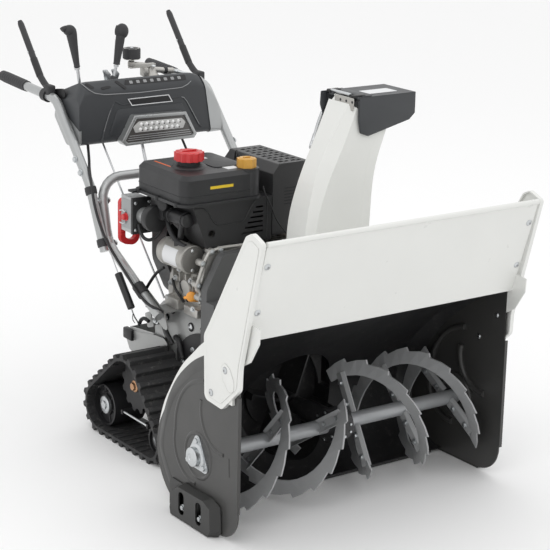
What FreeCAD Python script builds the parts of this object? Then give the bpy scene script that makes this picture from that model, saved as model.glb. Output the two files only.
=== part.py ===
import FreeCAD, Part
import math
import os

# Tracked snow blower. Millimetres, front along -Y, +Z up, +X to the right as seen from the front.
# While it is modelled, y = 0 is the mouth of the intake and z = 0 the ground. The finished pieces are
# moved along Y so that the origin lies under the middle of the machine.

# Intake housing
intakeWidth = 870.0
intakeHeight = 548.0
plateThickness = 4.0
sheetThickness = 3.0
housingFloor = 8.0
mouthCornerRadius = 78.0
lowerArcY = 232.0
lowerArcRadius = 152.0
upperArcRadius = 705.0
bulgeDepth = 32.0
bulgeEnd = 34.0
rimWidth = 11.0
rimTop = 400.0
floorFront = 242.0
scraperDepth = 46.0
scraperThickness = 5.0
pressingDepth = 1.6
pressingWidth = 8.0

# Auger
augerY = 184.0
augerZ = 188.0
augerRadius = 166.0
ribbonWidth = 47.0
ribbonThickness = 5.0
ribbonPitch = 360.0
ribbonInnerEnd = 48.0
ribbonOuterEnd = intakeWidth / 2 - plateThickness - 19
toothCount = 15
toothDepth = 12.0
augerTubeRadius = 20.0
augerJournalRadius = 12.5
armWidth = 38.0
armThickness = 4.0
armRise = 7.0
rightStartAngle = 46.0
leftStartAngle = 133.0
gearboxRadius = 46.0
gearboxWidth = 62.0
gearboxSnoutRadius = 32.0
earCircle = 42.0
earRadius = 14.0
bearingCapRadius = 25.0
bearingCapDepth = 21.0

# Impeller and its drum
impellerRadius = 148.0
impellerFront = 372.0
impellerBack = 474.0
bladeCount = 4
bladeThickness = 5.0
impellerHubRadius = 27.0
impellerShaftRadius = 12.5
drumClearance = 6.0
drumBack = 486.0
shaftFit = 0.3

# Discharge chute
chuteX = 118.0
chuteY = 402.0
ductRadius = 76.0
ductTop = 500.0
chuteRingRadius = 84.0
chuteHalfWidth = 62.0
chuteWall = 3.0
chuteTop = 1018.0
seatGap = 0.3
moveGap = 5.0
hingeU = 44.0
hingeZ = 1030.0
hingeRadius = 3.0
hoodTop = 1037.0
hoodHalf = chuteHalfWidth + moveGap + chuteWall

# Visor over the mouth
visorLean = 80.0
visorTop = 816.0
visorForward = 20.0
hemRadius = 7.0
bracketDepth = 12.0
noseY = -visorForward - visorLean + 2 - hemRadius

# Skid shoes
skidDepth = 28.0
skidThickness = 4.0

# Tracks
driveAxleY = 742.0
driveAxleZ = 181.0
sprocketReach = 100.0
idlerY = 890.0
idlerReach = 82.0
rollerY = 603.0
rollerReach = 62.0
trackInner = 180.0
trackWidth = 150.0
bandThickness = 8.0
lugHeight = 12.0
lugPitch = 38.0
lugBase = 22.0
lugTop = 13.0
wheelGap = 0.3
axleRadius = 12.5
framePlate = 6.0

# Chassis and engine
chassisHalfWidth = 160.0
chassisTop = 400.0
chassisFloor = 150.0
crankZ = 506.0
fanFront = 772.0
fanBack = 850.0
recoilBack = 892.0
recoilRadius = 115.0
switchFront = 800.0
switchBack = 862.0
cowlFront = 575.0
starterX = -180.0
starterZ = 568.0
starterRadius = 39.0
beltCoverFront = 490.3
beltCoverBack = 555.0
beltCoverStep = 470.0
beltCoverUpperFront = 527.0
trayHalfWidth = trackInner - moveGap
tankTop = 815.0
tankBottom = 731.0

# Handles and console
bendStep = 15.0
tubeRadius = 14.0
gripRadius = 16.5
gripEndY = 1580.0
gripLength = 155.0
gripHeight = 944.0
leverRadius = 7.0
legX = 235.0
handleX = legX + 2 * tubeRadius + seatGap
consoleWidth = 2 * (handleX - tubeRadius - seatGap)

centreY = (noseY + gripEndY) / 2


def vec(x, y, z):
    return FreeCAD.Vector(x, y, z)


def onX(x):
    return lambda u, v: vec(x, u, v)


def onY(y):
    return lambda u, v: vec(u, y, v)


def onZ(z):
    return lambda u, v: vec(u, v, z)


axisX = vec(1, 0, 0)
axisY = vec(0, 1, 0)
axisZ = vec(0, 0, 1)


def block(xRange, yRange, zRange):
    sizes = [r[1] - r[0] for r in (xRange, yRange, zRange)]
    return Part.makeBox(*sizes, vec(xRange[0], yRange[0], zRange[0]))


def rod(start, end, radius):
    return Part.makeCylinder(radius, (end - start).Length, start, end - start)


def ring(start, end, outer, inner):
    return rod(start, end, outer).cut(rod(start, end, inner))


def roundedPath(points, closed):
    """Edges through points (position, radius): straight runs joined by tangent arcs."""
    count = len(points)
    ends = []
    for i, (p, radius) in enumerate(points):
        if radius <= 0 or (not closed and i in (0, count - 1)):
            ends.append((p, p, None))
            continue
        toPrev = (points[i - 1][0] - p).normalize()
        toNext = (points[(i + 1) % count][0] - p).normalize()
        half = toPrev.getAngle(toNext) / 2
        reach = radius / math.tan(half)
        middle = (toPrev + toNext).normalize()
        centre = p + middle * (radius / math.sin(half))
        ends.append((p + toPrev * reach, p + toNext * reach, centre - middle * radius))
    edges = []
    for i in range(count):
        start, end, crown = ends[i]
        if crown is not None:
            edges.append(Part.Arc(start, crown, end).toShape())
        if i < count - 1 or closed:
            nextStart = ends[(i + 1) % count][0]
            if (nextStart - end).Length > 1e-6:
                edges.append(Part.makeLine(end, nextStart))
    return edges


def outline(corners, place):
    """Closed wire through flat corners (u, v) or (u, v, radius)."""
    points = [(place(c[0], c[1]), c[2] if len(c) > 2 else 0) for c in corners]
    return Part.Wire(roundedPath(points, True))


def plate(corners, place, thickness):
    """Flat outline extruded along its plane's axis; place(0, 0) tells the axis."""
    face = Part.Face(outline(corners, place))
    normal = face.normalAt(0, 0)
    along = vec(abs(normal.x), abs(normal.y), abs(normal.z))
    return face.extrude(along * thickness)


def flat(points):
    return Part.Face(Part.makePolygon(points + [points[0]]))


def skin(rows):
    """Solid closed by flat triangles between rows of points, with its end rows as caps."""
    faces = [flat(rows[0]), flat(rows[-1])]
    for a, b in zip(rows, rows[1:]):
        for k in range(len(a)):
            n = (k + 1) % len(a)
            faces.append(flat([a[k], a[n], b[n]]))
            faces.append(flat([a[k], b[n], b[k]]))
    solid = Part.Solid(Part.Shell(faces))
    if solid.Volume < 0:
        solid.reverse()
    return solid


def arcBand(x, centre, radius, start, end, width, depth):
    """Curved strip on a plane of constant x, between two angles in degrees, extruded to +X."""

    def at(r, turn):
        angle = math.radians(turn)
        return vec(x, centre[0] + r * math.cos(angle), centre[1] + r * math.sin(angle))

    low, high = radius - width / 2, radius + width / 2
    middle = (start + end) / 2
    edges = [Part.Arc(at(low, start), at(low, middle), at(low, end)).toShape(),
             Part.makeLine(at(low, end), at(high, end)),
             Part.Arc(at(high, end), at(high, middle), at(high, start)).toShape(),
             Part.makeLine(at(high, start), at(low, start))]
    return Part.Face(Part.Wire(edges)).extrude(vec(depth, 0, 0))


def bentTube(points, bend, radius):
    """Round bar along straight runs joined by bends of one radius, or of one radius each."""
    bends = bend if isinstance(bend, (list, tuple)) else [bend] * len(points)
    start = points[0]
    pieces = []
    for i in range(1, len(points)):
        p = points[i]
        toPrev = (start - p).normalize()
        if i == len(points) - 1:
            pieces.append(rod(start, p, radius))
            break
        toNext = (points[i + 1] - p).normalize()
        half = toPrev.getAngle(toNext) / 2
        reach = bends[i] / math.tan(half)
        arcStart = p + toPrev * reach
        centre = p + (toPrev + toNext).normalize() * (bends[i] / math.sin(half))
        turn = 180 - math.degrees(2 * half)
        steps = max(2, round(turn / bendStep))
        sections = []
        for step in range(steps + 1):
            section = Part.Wire(Part.Circle(arcStart, toPrev, radius).toShape())
            section.rotate(centre, toNext.cross(toPrev), turn * step / steps)
            sections.append(section)
        pieces.append(rod(start, arcStart, radius))
        pieces.append(Part.makeLoft(sections, True, True))
        start = p + toNext * reach
    return pieces[0].multiFuse(pieces[1:])


def cordTube(points, radius, steps):
    """Cable of eight flats along a smooth curve through points."""
    curve = Part.BSplineCurve()
    curve.interpolate(points)
    first, last = curve.FirstParameter, curve.LastParameter
    sides = 8
    rows = []
    for step in range(steps + 1):
        u = first + (last - first) * step / steps
        ahead = curve.tangent(u)[0]
        across = ahead.cross(axisX).normalize()
        rise = ahead.cross(across)
        row = []
        for k in range(sides):
            angle = 2 * math.pi * (k + 0.5) / sides
            row.append(curve.value(u) + (across * math.cos(angle) + rise * math.sin(angle)) * radius)
        rows.append(row)
    return skin(rows)


def mirrorX(shape):
    return shape.mirror(vec(0, 0, 0), axisX)


def pair(shape):
    return Part.makeCompound([shape, mirrorX(shape)])


def fuse(shapes):
    return shapes[0].multiFuse(shapes[1:]).removeSplitter()


def cutAll(shape, tools):
    return shape.cut(Part.makeCompound(tools)) if len(tools) == 1 else shape.cut(tools)


# ---------------------------------------------------------------- intake housing

def arcMeeting(floorY, radius, bigRadius, mouthHeight):
    """Centre of the big arc through the top of the mouth, touching the small rear arc from inside."""
    smallY, smallZ = floorY, housingFloor + radius
    reach = bigRadius - radius
    dy, dz = smallY, smallZ - mouthHeight
    gap = math.hypot(dy, dz)
    along = (bigRadius ** 2 - reach ** 2 + gap ** 2) / (2 * gap)
    across = math.sqrt(bigRadius ** 2 - along ** 2)
    ey, ez = dy / gap, dz / gap
    return along * ey + across * ez, mouthHeight + along * ez - across * ey


def housingProfile(x, inset, bulge, frontY):
    """Closed side outline of the housing at x: mouth, top arc, rear arc and floor."""
    radius = lowerArcRadius + bulge / 2
    floorY = lowerArcY + bulge / 2
    bigY, bigZ = arcMeeting(floorY, radius, upperArcRadius, intakeHeight)
    smallZ = housingFloor + radius
    small, big = radius - inset, upperArcRadius - inset
    turn = math.atan2(smallZ - bigZ, floorY - bigY)
    place = onX(x)
    topZ = bigZ + math.sqrt(big ** 2 - (frontY - bigY) ** 2)
    topTurn = math.atan2(topZ - bigZ, frontY - bigY)

    def onBig(angle):
        return place(bigY + big * math.cos(angle), bigZ + big * math.sin(angle))

    def onSmall(angle):
        return place(floorY + small * math.cos(angle), smallZ + small * math.sin(angle))

    floorZ = housingFloor + inset
    edges = [
        Part.Arc(onBig(topTurn), onBig((topTurn + turn) / 2), onBig(turn)).toShape(),
        Part.Arc(onSmall(turn), onSmall((turn - math.pi / 2) / 2), onSmall(-math.pi / 2)).toShape(),
        Part.makeLine(place(floorY, floorZ), place(frontY, floorZ)),
        Part.makeLine(place(frontY, floorZ), place(frontY, topZ)),
    ]
    return Part.Wire(edges)


def housingTop(y, bulge):
    """Height of the wrapper's outside at a distance behind the mouth."""
    bigY, bigZ = arcMeeting(lowerArcY + bulge / 2, lowerArcRadius + bulge / 2, upperArcRadius, intakeHeight)
    return bigZ + math.sqrt(upperArcRadius ** 2 - (y - bigY) ** 2)


def housingBody(inset, frontY):
    """Solid within the housing's wrapper: full depth in the middle, tapered to the side plates."""
    edgeX = intakeWidth / 2 - plateThickness
    fullX = edgeX - bulgeEnd
    plain = housingProfile(edgeX, inset, 0, frontY)
    full = housingProfile(fullX, inset, bulgeDepth, frontY)
    end = Part.makeLoft([plain, full], True, True)
    middle = Part.Face(full).extrude(vec(-2 * fullX, 0, 0))
    return fuse([middle, end, mirrorX(end)])


def housingShell():
    """Curved wrapper behind the mouth; its floor ends behind the auger."""
    mouth = sheetThickness
    body = housingBody(0, 0).cut(housingBody(sheetThickness, -mouth))
    opening = rod(vec(0, augerY, augerZ), vec(0, drumBack, augerZ), impellerRadius + drumClearance)
    floor = block((-intakeWidth, intakeWidth), (-mouth, floorFront), (0, lowerArcRadius))
    return cutAll(body, [opening, floor])


def sidePlate():
    """Right-hand (+X) plate with pressed creases and a folded rim on its mouth edge."""
    inner = intakeWidth / 2 - plateThickness
    outer = intakeWidth / 2
    face = Part.Face(housingProfile(inner, 0, 0, 0))
    solid = face.extrude(vec(plateThickness, 0, 0))
    cornerZ = housingFloor + mouthCornerRadius
    corner = block((inner, outer), (0, mouthCornerRadius), (housingFloor, cornerZ))
    cornerRod = rod(vec(inner, mouthCornerRadius, cornerZ), vec(outer, mouthCornerRadius, cornerZ),
                    mouthCornerRadius)
    face = outer - pressingDepth
    cuts = [corner.cut(cornerRod),
            ring(vec(face, augerY, augerZ), vec(outer, augerY, augerZ), 64, 64 - pressingWidth),
            rod(vec(inner, augerY, augerZ), vec(outer, augerY, augerZ), augerJournalRadius + 4)]
    for centre, radius, start, end in (((205, 200), 94, -95, 15), ((130, 235), 165, -4, 80),
                                       ((80, 320), 94, -97, 14)):
        cuts.append(arcBand(face, centre, radius, start, end, pressingWidth, pressingDepth))
    rim = plate([(0, cornerZ + 6), (0, rimTop), (-rimWidth / 3, rimTop), (-rimWidth / 3, cornerZ + 6)],
                onX(inner), plateThickness + rimWidth / 2)
    return fuse([cutAll(solid, cuts), rim])


def scraperBlade():
    """Wear strip under the front of the wrapper, curved like it."""
    half = intakeWidth / 2 - plateThickness - bulgeEnd
    centreZ = housingFloor + lowerArcRadius + bulgeDepth / 2
    bottom = lowerArcY + bulgeDepth / 2
    radius = centreZ - housingFloor
    end = math.degrees(math.asin(scraperDepth / radius)) - 90
    curved = arcBand(-half, (bottom, centreZ), radius + scraperThickness / 2, -90, end, scraperThickness,
                     2 * half)
    lip = block((-half, half), (floorFront, bottom), (housingFloor - scraperThickness, housingFloor))
    return fuse([curved, lip])


def drumBody(radius, front, back):
    return rod(vec(0, front, augerZ), vec(0, back, augerZ), radius)


def impellerDrum():
    """Drum behind the housing with its outlet duct up to the chute's seat."""
    inner = impellerRadius + drumClearance
    outer = inner + plateThickness
    low, high = vec(chuteX, chuteY, augerZ), vec(chuteX, chuteY, ductTop)
    shell = drumBody(outer, augerY, drumBack).fuse(rod(low, high, ductRadius))
    hollow = drumBody(inner, augerY, drumBack - plateThickness)
    throat = rod(low + axisZ * sheetThickness, high, ductRadius - sheetThickness)
    hole = rod(vec(0, augerY, augerZ), vec(0, drumBack, augerZ), impellerShaftRadius + 1)
    shell = cutAll(shell, [hollow, throat, hole]).cut(housingBody(0, 0))
    return max(shell.Solids, key=lambda part: part.Volume)


# ---------------------------------------------------------------- auger

def ribbonPoint(hand, startX, startAngle, turn, radius, shift):
    """Point of a ribbon after a turn in degrees; hand +1 winds outward to +X, -1 to -X."""
    angle = math.radians(startAngle + turn)
    along = hand * (startX + ribbonPitch * turn / 360 + shift)
    return vec(along, augerY + radius * math.cos(angle), augerZ + radius * math.sin(angle))


def ribbonStations(span):
    """Turns and outer radii along a ribbon, three stations to a tooth: a long rise and a steep fall."""
    tooth = 360.0 / toothCount
    stations = []
    start = 0.0
    while start < span:
        for share, cut in ((0.0, 1.0), (0.5, 0.46), (0.93, 0.0)):
            turn = start + tooth * share
            if turn <= span:
                stations.append((turn, augerRadius - toothDepth * cut))
        start += tooth
    return stations


def serratedRibbon(hand, startX, startAngle):
    """Helical strip with a saw-tooth outer edge."""
    span = (ribbonOuterEnd - startX - ribbonThickness) / ribbonPitch * 360
    inner = augerRadius - ribbonWidth
    rows = []
    for turn, outer in ribbonStations(span):
        rows.append([ribbonPoint(hand, startX, startAngle, turn, r, s) for r, s in
                     ((inner, 0), (outer, 0), (outer, ribbonThickness), (inner, ribbonThickness))])
    return skin(rows)


def ribbonArm(hand, startX, startAngle, turn):
    """Channel-shaped bar from the tube to the ribbon's inner edge."""
    reach = augerRadius - ribbonWidth + 12
    x = startX + ribbonPitch * turn / 360 + ribbonThickness / 2
    half, web = armWidth / 2, armWidth * 0.28
    section = [(0, -half), (-armRise, -web), (-armRise, web), (0, half), (armThickness, half - 1),
               (armThickness - armRise, web - 1), (armThickness - armRise, 1 - web), (armThickness, 1 - half)]
    arm = plate([(x + u, v) for u, v in section], onY(augerTubeRadius - 2), reach - augerTubeRadius + 2)
    arm.rotate(vec(0, 0, 0), axisX, startAngle + turn)
    arm.translate(vec(0, augerY, augerZ))
    return arm if hand > 0 else mirrorX(arm)


def augerFlight(hand, startAngle):
    """The two ribbons of one side, half a turn apart, with their arms."""
    span = (ribbonOuterEnd - ribbonInnerEnd - ribbonThickness) / ribbonPitch * 360
    pieces = []
    for extra in (0, 180):
        pieces.append(serratedRibbon(hand, ribbonInnerEnd, startAngle + extra))
        for share in (0.04, 0.5, 0.96):
            pieces.append(ribbonArm(hand, ribbonInnerEnd, startAngle + extra, span * share))
    flight = pieces[0].multiFuse(pieces[1:])
    bore = rod(vec(-intakeWidth, augerY, augerZ), vec(intakeWidth, augerY, augerZ),
               augerTubeRadius + shaftFit / 3)
    return flight.cut(bore)


def augerShaft():
    tubeEnd = intakeWidth / 2 - plateThickness - 6
    journalEnd = intakeWidth / 2 + 16
    tube = rod(vec(-tubeEnd, augerY, augerZ), vec(tubeEnd, augerY, augerZ), augerTubeRadius)
    journal = rod(vec(-journalEnd, augerY, augerZ), vec(journalEnd, augerY, augerZ), augerJournalRadius)
    return fuse([tube, journal])


def augerGearbox():
    """Cast box on the middle of the auger tube, with a stepped snout back to the impeller shaft."""
    half = gearboxWidth / 2
    body = rod(vec(-half, augerY, augerZ), vec(half, augerY, augerZ), gearboxRadius)
    snoutEnd = impellerFront - 14
    neck = rod(vec(0, augerY, augerZ), vec(0, snoutEnd - 50, augerZ), gearboxSnoutRadius)
    snout = rod(vec(0, augerY, augerZ), vec(0, snoutEnd, augerZ), gearboxSnoutRadius - 7)
    lid = rod(vec(0, augerY - gearboxRadius - 3, augerZ), vec(0, augerY, augerZ), gearboxRadius * 0.62)
    box = fuse([body, neck, snout, lid])
    bore = rod(vec(-gearboxRadius, augerY, augerZ), vec(gearboxRadius, augerY, augerZ),
               augerTubeRadius + shaftFit)
    socket = rod(vec(0, snoutEnd - 40, augerZ), vec(0, snoutEnd + 1, augerZ), impellerShaftRadius + shaftFit)
    return box.cut(bore).cut(socket)


def augerBearing():
    """Zinc flange, a rounded triangle with a hub cap, outside the +X plate."""
    outer = intakeWidth / 2
    reach = earCircle + 2 * earRadius
    corners = []
    for angle in (92, 212, 332):
        turn = math.radians(angle)
        corners.append((augerY + reach * math.cos(turn), augerZ + reach * math.sin(turn), earRadius))
    base = plate(corners, onX(outer), plateThickness)
    cap = rod(vec(outer, augerY, augerZ), vec(outer + bearingCapDepth, augerY, augerZ), bearingCapRadius)
    bore = rod(vec(outer - 1, augerY, augerZ), vec(outer + 18, augerY, augerZ),
               augerJournalRadius + shaftFit)
    return fuse([base, cap]).cut(bore)


# ---------------------------------------------------------------- impeller

def impeller():
    hub = rod(vec(0, impellerFront, augerZ), vec(0, impellerBack, augerZ), impellerHubRadius)
    shaft = rod(vec(0, impellerFront - 50, augerZ), vec(0, drumBack + 45, augerZ), impellerShaftRadius)
    backing = rod(vec(0, impellerBack - 4, augerZ), vec(0, impellerBack, augerZ), impellerRadius * 0.62)
    pieces = [hub, shaft, backing]
    lip = 16.0
    for k in range(bladeCount):
        blade = block((impellerHubRadius - 3, impellerRadius - 2), (impellerFront, impellerBack),
                      (-bladeThickness / 2, bladeThickness / 2))
        tip = block((impellerRadius - 2 - bladeThickness, impellerRadius - 2),
                    (impellerFront, impellerBack), (-bladeThickness / 2, lip))
        vane = blade.fuse(tip)
        vane.rotate(vec(0, 0, 0), axisY, 360.0 / bladeCount * k + 20)
        vane.translate(vec(0, 0, augerZ))
        pieces.append(vane)
    return fuse(pieces)


# ---------------------------------------------------------------- visor, brackets and skids

def visorPanel():
    """Sheet folded over the top of the mouth, leaning forward to a rolled hem, with a flange at each end."""
    half = intakeWidth / 2 - plateThickness - 1
    t = sheetThickness
    lowZ = intakeHeight
    topY, topZ = -visorForward - visorLean, visorTop - hemRadius
    backY = 42.0
    backZ = housingTop(backY, bulgeDepth)
    lean = vec(0, topY + visorForward, topZ - lowZ).normalize()
    corners = [(backY, backZ), (0, lowZ), (-visorForward, lowZ), (topY, topZ),
               (topY + t * lean.z, topZ - t * lean.y), (-visorForward + t, lowZ + t + 2),
               (0, lowZ + t), (backY, backZ + t)]
    panel = plate(corners, onX(-half), 2 * half).cut(housingBody(0, 0))
    hem = rod(vec(-half, topY + 2, topZ), vec(half, topY + 2, topZ), hemRadius)
    flange = plate([(-visorForward, lowZ), (-35, lowZ + 49), (-74, lowZ + 45),
                    (-72, lowZ + 8), (-37, lowZ - 47),
                    (-5, lowZ - 66), (-5, lowZ)], onX(half - t), t)
    return fuse([panel, hem, flange, mirrorX(flange)])


def visorBracket():
    """Formed side bracket of the visor on the +X side, dished on its inner face."""
    inner = intakeWidth / 2
    corners = [(-58, 830, 14), (noseY + 2, 812, 10), (-16, 481, 60), (-13, 422, 20), (60, 354, 14),
               (139, 360, 18), (144, 527, 26), (122, 560, 30), (-34, 818, 20)]
    body = plate(corners, onX(inner), bracketDepth)
    dish = outline(corners, onX(inner)).makeOffset2D(-plateThickness)
    room = Part.Face(dish).extrude(vec(bracketDepth - plateThickness, 0, 0))
    body = body.cut(room)
    foot = plate([(20, 375), (120, 375), (120, 470), (20, 470)], onX(inner), bracketDepth - plateThickness)
    return fuse([body, foot])


def skidShoe():
    """Pressed shoe on the +X side: a flat back with a raised box, slotted for height."""
    inner = intakeWidth / 2
    back = plate([(70, 14), (86, 0), (300, 0), (314, 12), (314, 76), (302, 88), (84, 88), (70, 74)],
                 onX(inner), skidThickness)
    low = [(280, 2), (286, 20), (278, 73), (238, 96), (112, 98), (74, 86), (68, 20), (80, 2)]
    high = [(272, 3), (276, 20), (268, 69), (234, 90), (118, 92), (88, 80), (84, 20), (96, 3)]
    middle = (sum(y for y, z in high) / len(high), sum(z for y, z in high) / len(high))

    def shell(x, corners, shrink):
        near = [(middle[0] + (y - middle[0]) * (1 - shrink / 90),
                 middle[1] + (z - middle[1]) * (1 - shrink / 45))
                for y, z in corners]
        return [vec(x, y, z) for y, z in near]

    outside = skin([shell(inner + skidThickness, low, 0), shell(inner + skidDepth, high, 0)])
    inside = skin([shell(inner + skidThickness, low, skidThickness),
                   shell(inner + skidDepth - skidThickness, high, skidThickness)])
    shoe = fuse([back, outside.cut(inside)])
    slots = [plate([(y - 13, 18, 12), (y + 13, 18, 12), (y + 13, 80, 12), (y - 13, 80, 12)],
                   onX(inner - 1), skidDepth + 2) for y in (220, 139)]
    return cutAll(shoe, slots)


# ---------------------------------------------------------------- chute

def chuteRow(backU, backZ, frontU, frontZ, corner, lip):
    """Corners of a thin U section from a back to a front point, its front edges turned out by lip."""
    frontPoint = vec(frontU, 0, frontZ)
    along = vec(backU, 0, backZ) - frontPoint
    depth = along.Length
    along.normalize()
    outer, inner = chuteHalfWidth, chuteHalfWidth - chuteWall
    lipDepth = 26.0
    shy = corner + chuteWall * math.tan(math.radians(22.5))
    half = [(0, outer + lip), (lipDepth, outer), (depth - corner, outer), (depth, outer - corner)]
    back = [(depth - chuteWall, outer - shy), (depth - shy, inner), (lipDepth, inner), (0, inner + lip)]
    corners = [(u, -v) for u, v in half] + half[::-1] + back[::-1] + [(u, -v) for u, v in back]
    return [frontPoint + along * u + axisY * v for u, v in corners]


def chuteStations():
    """Rows of back u, z, front u, z, corner and lip up the chute; u is the distance from the pivot."""
    seat = ductTop + seatGap
    return [(-74, seat, 74, seat, 30, 0), (-96, 560, 90, 560, 24, 2), (-103, 640, 97, 646, 20, 4),
            (-95, 716, 99, 716, 21, 5), (-79, 782, 102, 778, 25, 5), (-57, 846, 109, 832, 29, 5),
            (-28, 907, 120, 874, 29, 5), (2, 964, 134, 908, 24, 3), (30, chuteTop, 149, 942, 18, 0)]


def between(rows, steps):
    """Rows with evenly spaced points of a smooth curve added between each two."""
    last = len(rows) - 1
    result = []
    for i in range(last):
        a, b, c, d = (rows[min(max(k, 0), last)] for k in (i - 1, i, i + 1, i + 2))
        for step in range(steps):
            t = step / steps
            result.append([0.5 * (2 * q + (r - p) * t + (2 * p - 5 * q + 4 * r - w) * t ** 2
                                  + (3 * q - p - 3 * r + w) * t ** 3) for p, q, r, w in zip(a, b, c, d)])
    return result + [list(rows[last])]


def placeChute(shape):
    shape.translate(vec(chuteX, chuteY, 0))
    return shape


def chute():
    """Curved channel on its turning ring, with the hinge bracket and pin of the deflector."""
    channel = skin([chuteRow(*row) for row in between(chuteStations(), 3)])
    seat = ductTop + seatGap
    flange = ring(vec(0, 0, seat), vec(0, 0, seat + 5), chuteRingRadius, 62)
    skirt = ring(vec(0, 0, ductTop - 22), vec(0, 0, seat + 5), chuteRingRadius, ductRadius + 1)
    leaf = plate([(28, chuteTop - 4), (33, chuteTop - 4), (hingeU + 2, hingeZ), (hingeU - 1, hingeZ)],
                 onY(-32), 64)
    pin = rod(vec(hingeU, -38, hingeZ), vec(hingeU, 38, hingeZ), hingeRadius)
    return placeChute(fuse([channel, flange, skirt, leaf, pin]))


def deflectorHood():
    """Inverted trough over the chute's mouth, with knuckles round the hinge pin."""
    top = hoodTop
    side = [(hingeU - 3, top), (241, top), (241, top - 58), (222, top - 75), (80, top - 108), (54, top - 98),
            (46, top - 63), (46, top - 23)]
    outer = plate(side, onY(-hoodHalf), 2 * hoodHalf)
    wall = chuteWall
    room = block((0, 241 - wall), (-hoodHalf + wall, hoodHalf - wall), (top - 200, top - wall))
    hood = outer.cut(room)
    knuckles = []
    for low in (-56, 36):
        barrel = block((hingeU - 5, hingeU + 5), (low, low + 20), (hingeZ, top))
        barrel = barrel.fuse(rod(vec(hingeU, low, hingeZ), vec(hingeU, low + 20, hingeZ), 5))
        knuckles.append(barrel)
    bore = rod(vec(hingeU, -hoodHalf, hingeZ), vec(hingeU, hoodHalf, hingeZ), hingeRadius + seatGap)
    return placeChute(fuse([hood] + knuckles).cut(bore))


# ---------------------------------------------------------------- tracks

def beltLegs(wheels):
    """Arcs and tangent runs of a belt about wheels (y, z, radius), counterclockwise."""
    normals = []
    count = len(wheels)
    for i in range(count):
        y0, z0, r0 = wheels[i]
        y1, z1, r1 = wheels[(i + 1) % count]
        heading = math.atan2(z1 - z0, y1 - y0)
        normals.append(heading - math.acos((r0 - r1) / math.hypot(y1 - y0, z1 - z0)))
    legs = []
    for i in range(count):
        y, z, r = wheels[i]
        start, end = normals[i - 1], normals[i]
        while end < start:
            end += 2 * math.pi
        legs.append(("arc", y, z, r, start, end, r * (end - start)))
        ny, nz, nr = wheels[(i + 1) % count]
        c, s = math.cos(normals[i]), math.sin(normals[i])
        p0, p1 = (y + r * c, z + r * s), (ny + nr * c, nz + nr * s)
        legs.append(("run", p0, p1, (c, s), math.hypot(p1[0] - p0[0], p1[1] - p0[1])))
    return legs


def beltLength(legs):
    return sum(leg[-1] for leg in legs)


def beltPoint(legs, s):
    """Position and outward normal at a distance along the belt."""
    s = s % beltLength(legs)
    for leg in legs:
        if s <= leg[-1]:
            break
        s -= leg[-1]
    if leg[0] == "arc":
        angle = leg[4] + s / leg[3]
        c, n = math.cos(angle), math.sin(angle)
        return (leg[1] + leg[3] * c, leg[2] + leg[3] * n), (c, n)
    share = s / leg[-1]
    (y0, z0), (y1, z1) = leg[1], leg[2]
    return (y0 + (y1 - y0) * share, z0 + (z1 - z0) * share), leg[3]


def beltWire(legs, x):
    place = onX(x)
    edges = []
    for leg in legs:
        if leg[0] == "arc":
            kind, y, z, r, start, end, length = leg
            points = [place(y + r * math.cos(a), z + r * math.sin(a))
                      for a in (start, (start + end) / 2, end)]
            edges.append(Part.Arc(*points).toShape())
        else:
            edges.append(Part.makeLine(place(*leg[1]), place(*leg[2])))
    return Part.Wire(edges)


def trackWheels(depth):
    """Centres of roller, idler and sprocket with the belt's radius at a depth below the lug tips."""
    return [(rollerY, rollerReach, rollerReach - depth), (idlerY, idlerReach, idlerReach - depth),
            (driveAxleY, driveAxleZ, sprocketReach - depth)]


def trackLoop():
    """One endless rubber track on the +X side with its lugs in the outline."""
    band = beltLegs(trackWheels(lugHeight))
    count = int(round(beltLength(band) / lugPitch))
    pitch = beltLength(band) / count
    corners = []
    for k in range(count):
        s = k * pitch
        middle, normal = beltPoint(band, s)
        tangent = (-normal[1], normal[0])
        corners.append(beltPoint(band, s - lugBase / 2)[0])
        for side in (-1, 1):
            corners.append((middle[0] + tangent[0] * side * lugTop / 2 + normal[0] * lugHeight,
                            middle[1] + tangent[1] * side * lugTop / 2 + normal[1] * lugHeight))
        corners.append(beltPoint(band, s + lugBase / 2)[0])
    outer = plate(corners, onX(trackInner), trackWidth)
    hollow = Part.Face(beltWire(beltLegs(trackWheels(lugHeight + bandThickness)), trackInner))
    return outer.cut(hollow.extrude(vec(trackWidth, 0, 0)))


def wheelTurn(y, z, profile):
    """Wheel turned about an X axle from a profile of (x, radius) points."""
    wire = Part.makePolygon([vec(x, y, z + r) for x, r in profile + [profile[0]]])
    return Part.Face(wire).revolve(vec(0, y, z), axisX, 360)


def idlerWheel(y, z, radius, hub):
    """Wheel with a recessed disc near its outer face, a rim and a raised hub."""
    inner, outer = trackInner + 20, trackInner + trackWidth - 26
    rim = 6.0
    profile = [(inner, hub), (inner, radius), (outer, radius),
               (outer, radius - rim), (outer - 12, radius - rim),
               (outer - 12, hub + 20), (outer - 5, hub + 20), (outer - 5, hub)]
    return wheelTurn(y, z, profile)


def driveSprocket():
    """Toothed drum inside the drive end of the track."""
    tip = sprocketReach - lugHeight - bandThickness - wheelGap
    root = tip - 11
    teeth = 12
    corners = []
    for k in range(teeth):
        for share, radius in ((0.0, root), (0.2, tip), (0.5, tip), (0.7, root)):
            angle = 2 * math.pi * (k + share) / teeth
            corners.append((driveAxleY + radius * math.cos(angle), driveAxleZ + radius * math.sin(angle)))
    inner, outer = trackInner + 45, trackInner + trackWidth - 45
    bore = rod(vec(inner, driveAxleY, driveAxleZ), vec(outer, driveAxleY, driveAxleZ), axleRadius + shaftFit)
    return plate(corners, onX(inner), outer - inner).cut(bore)


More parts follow.
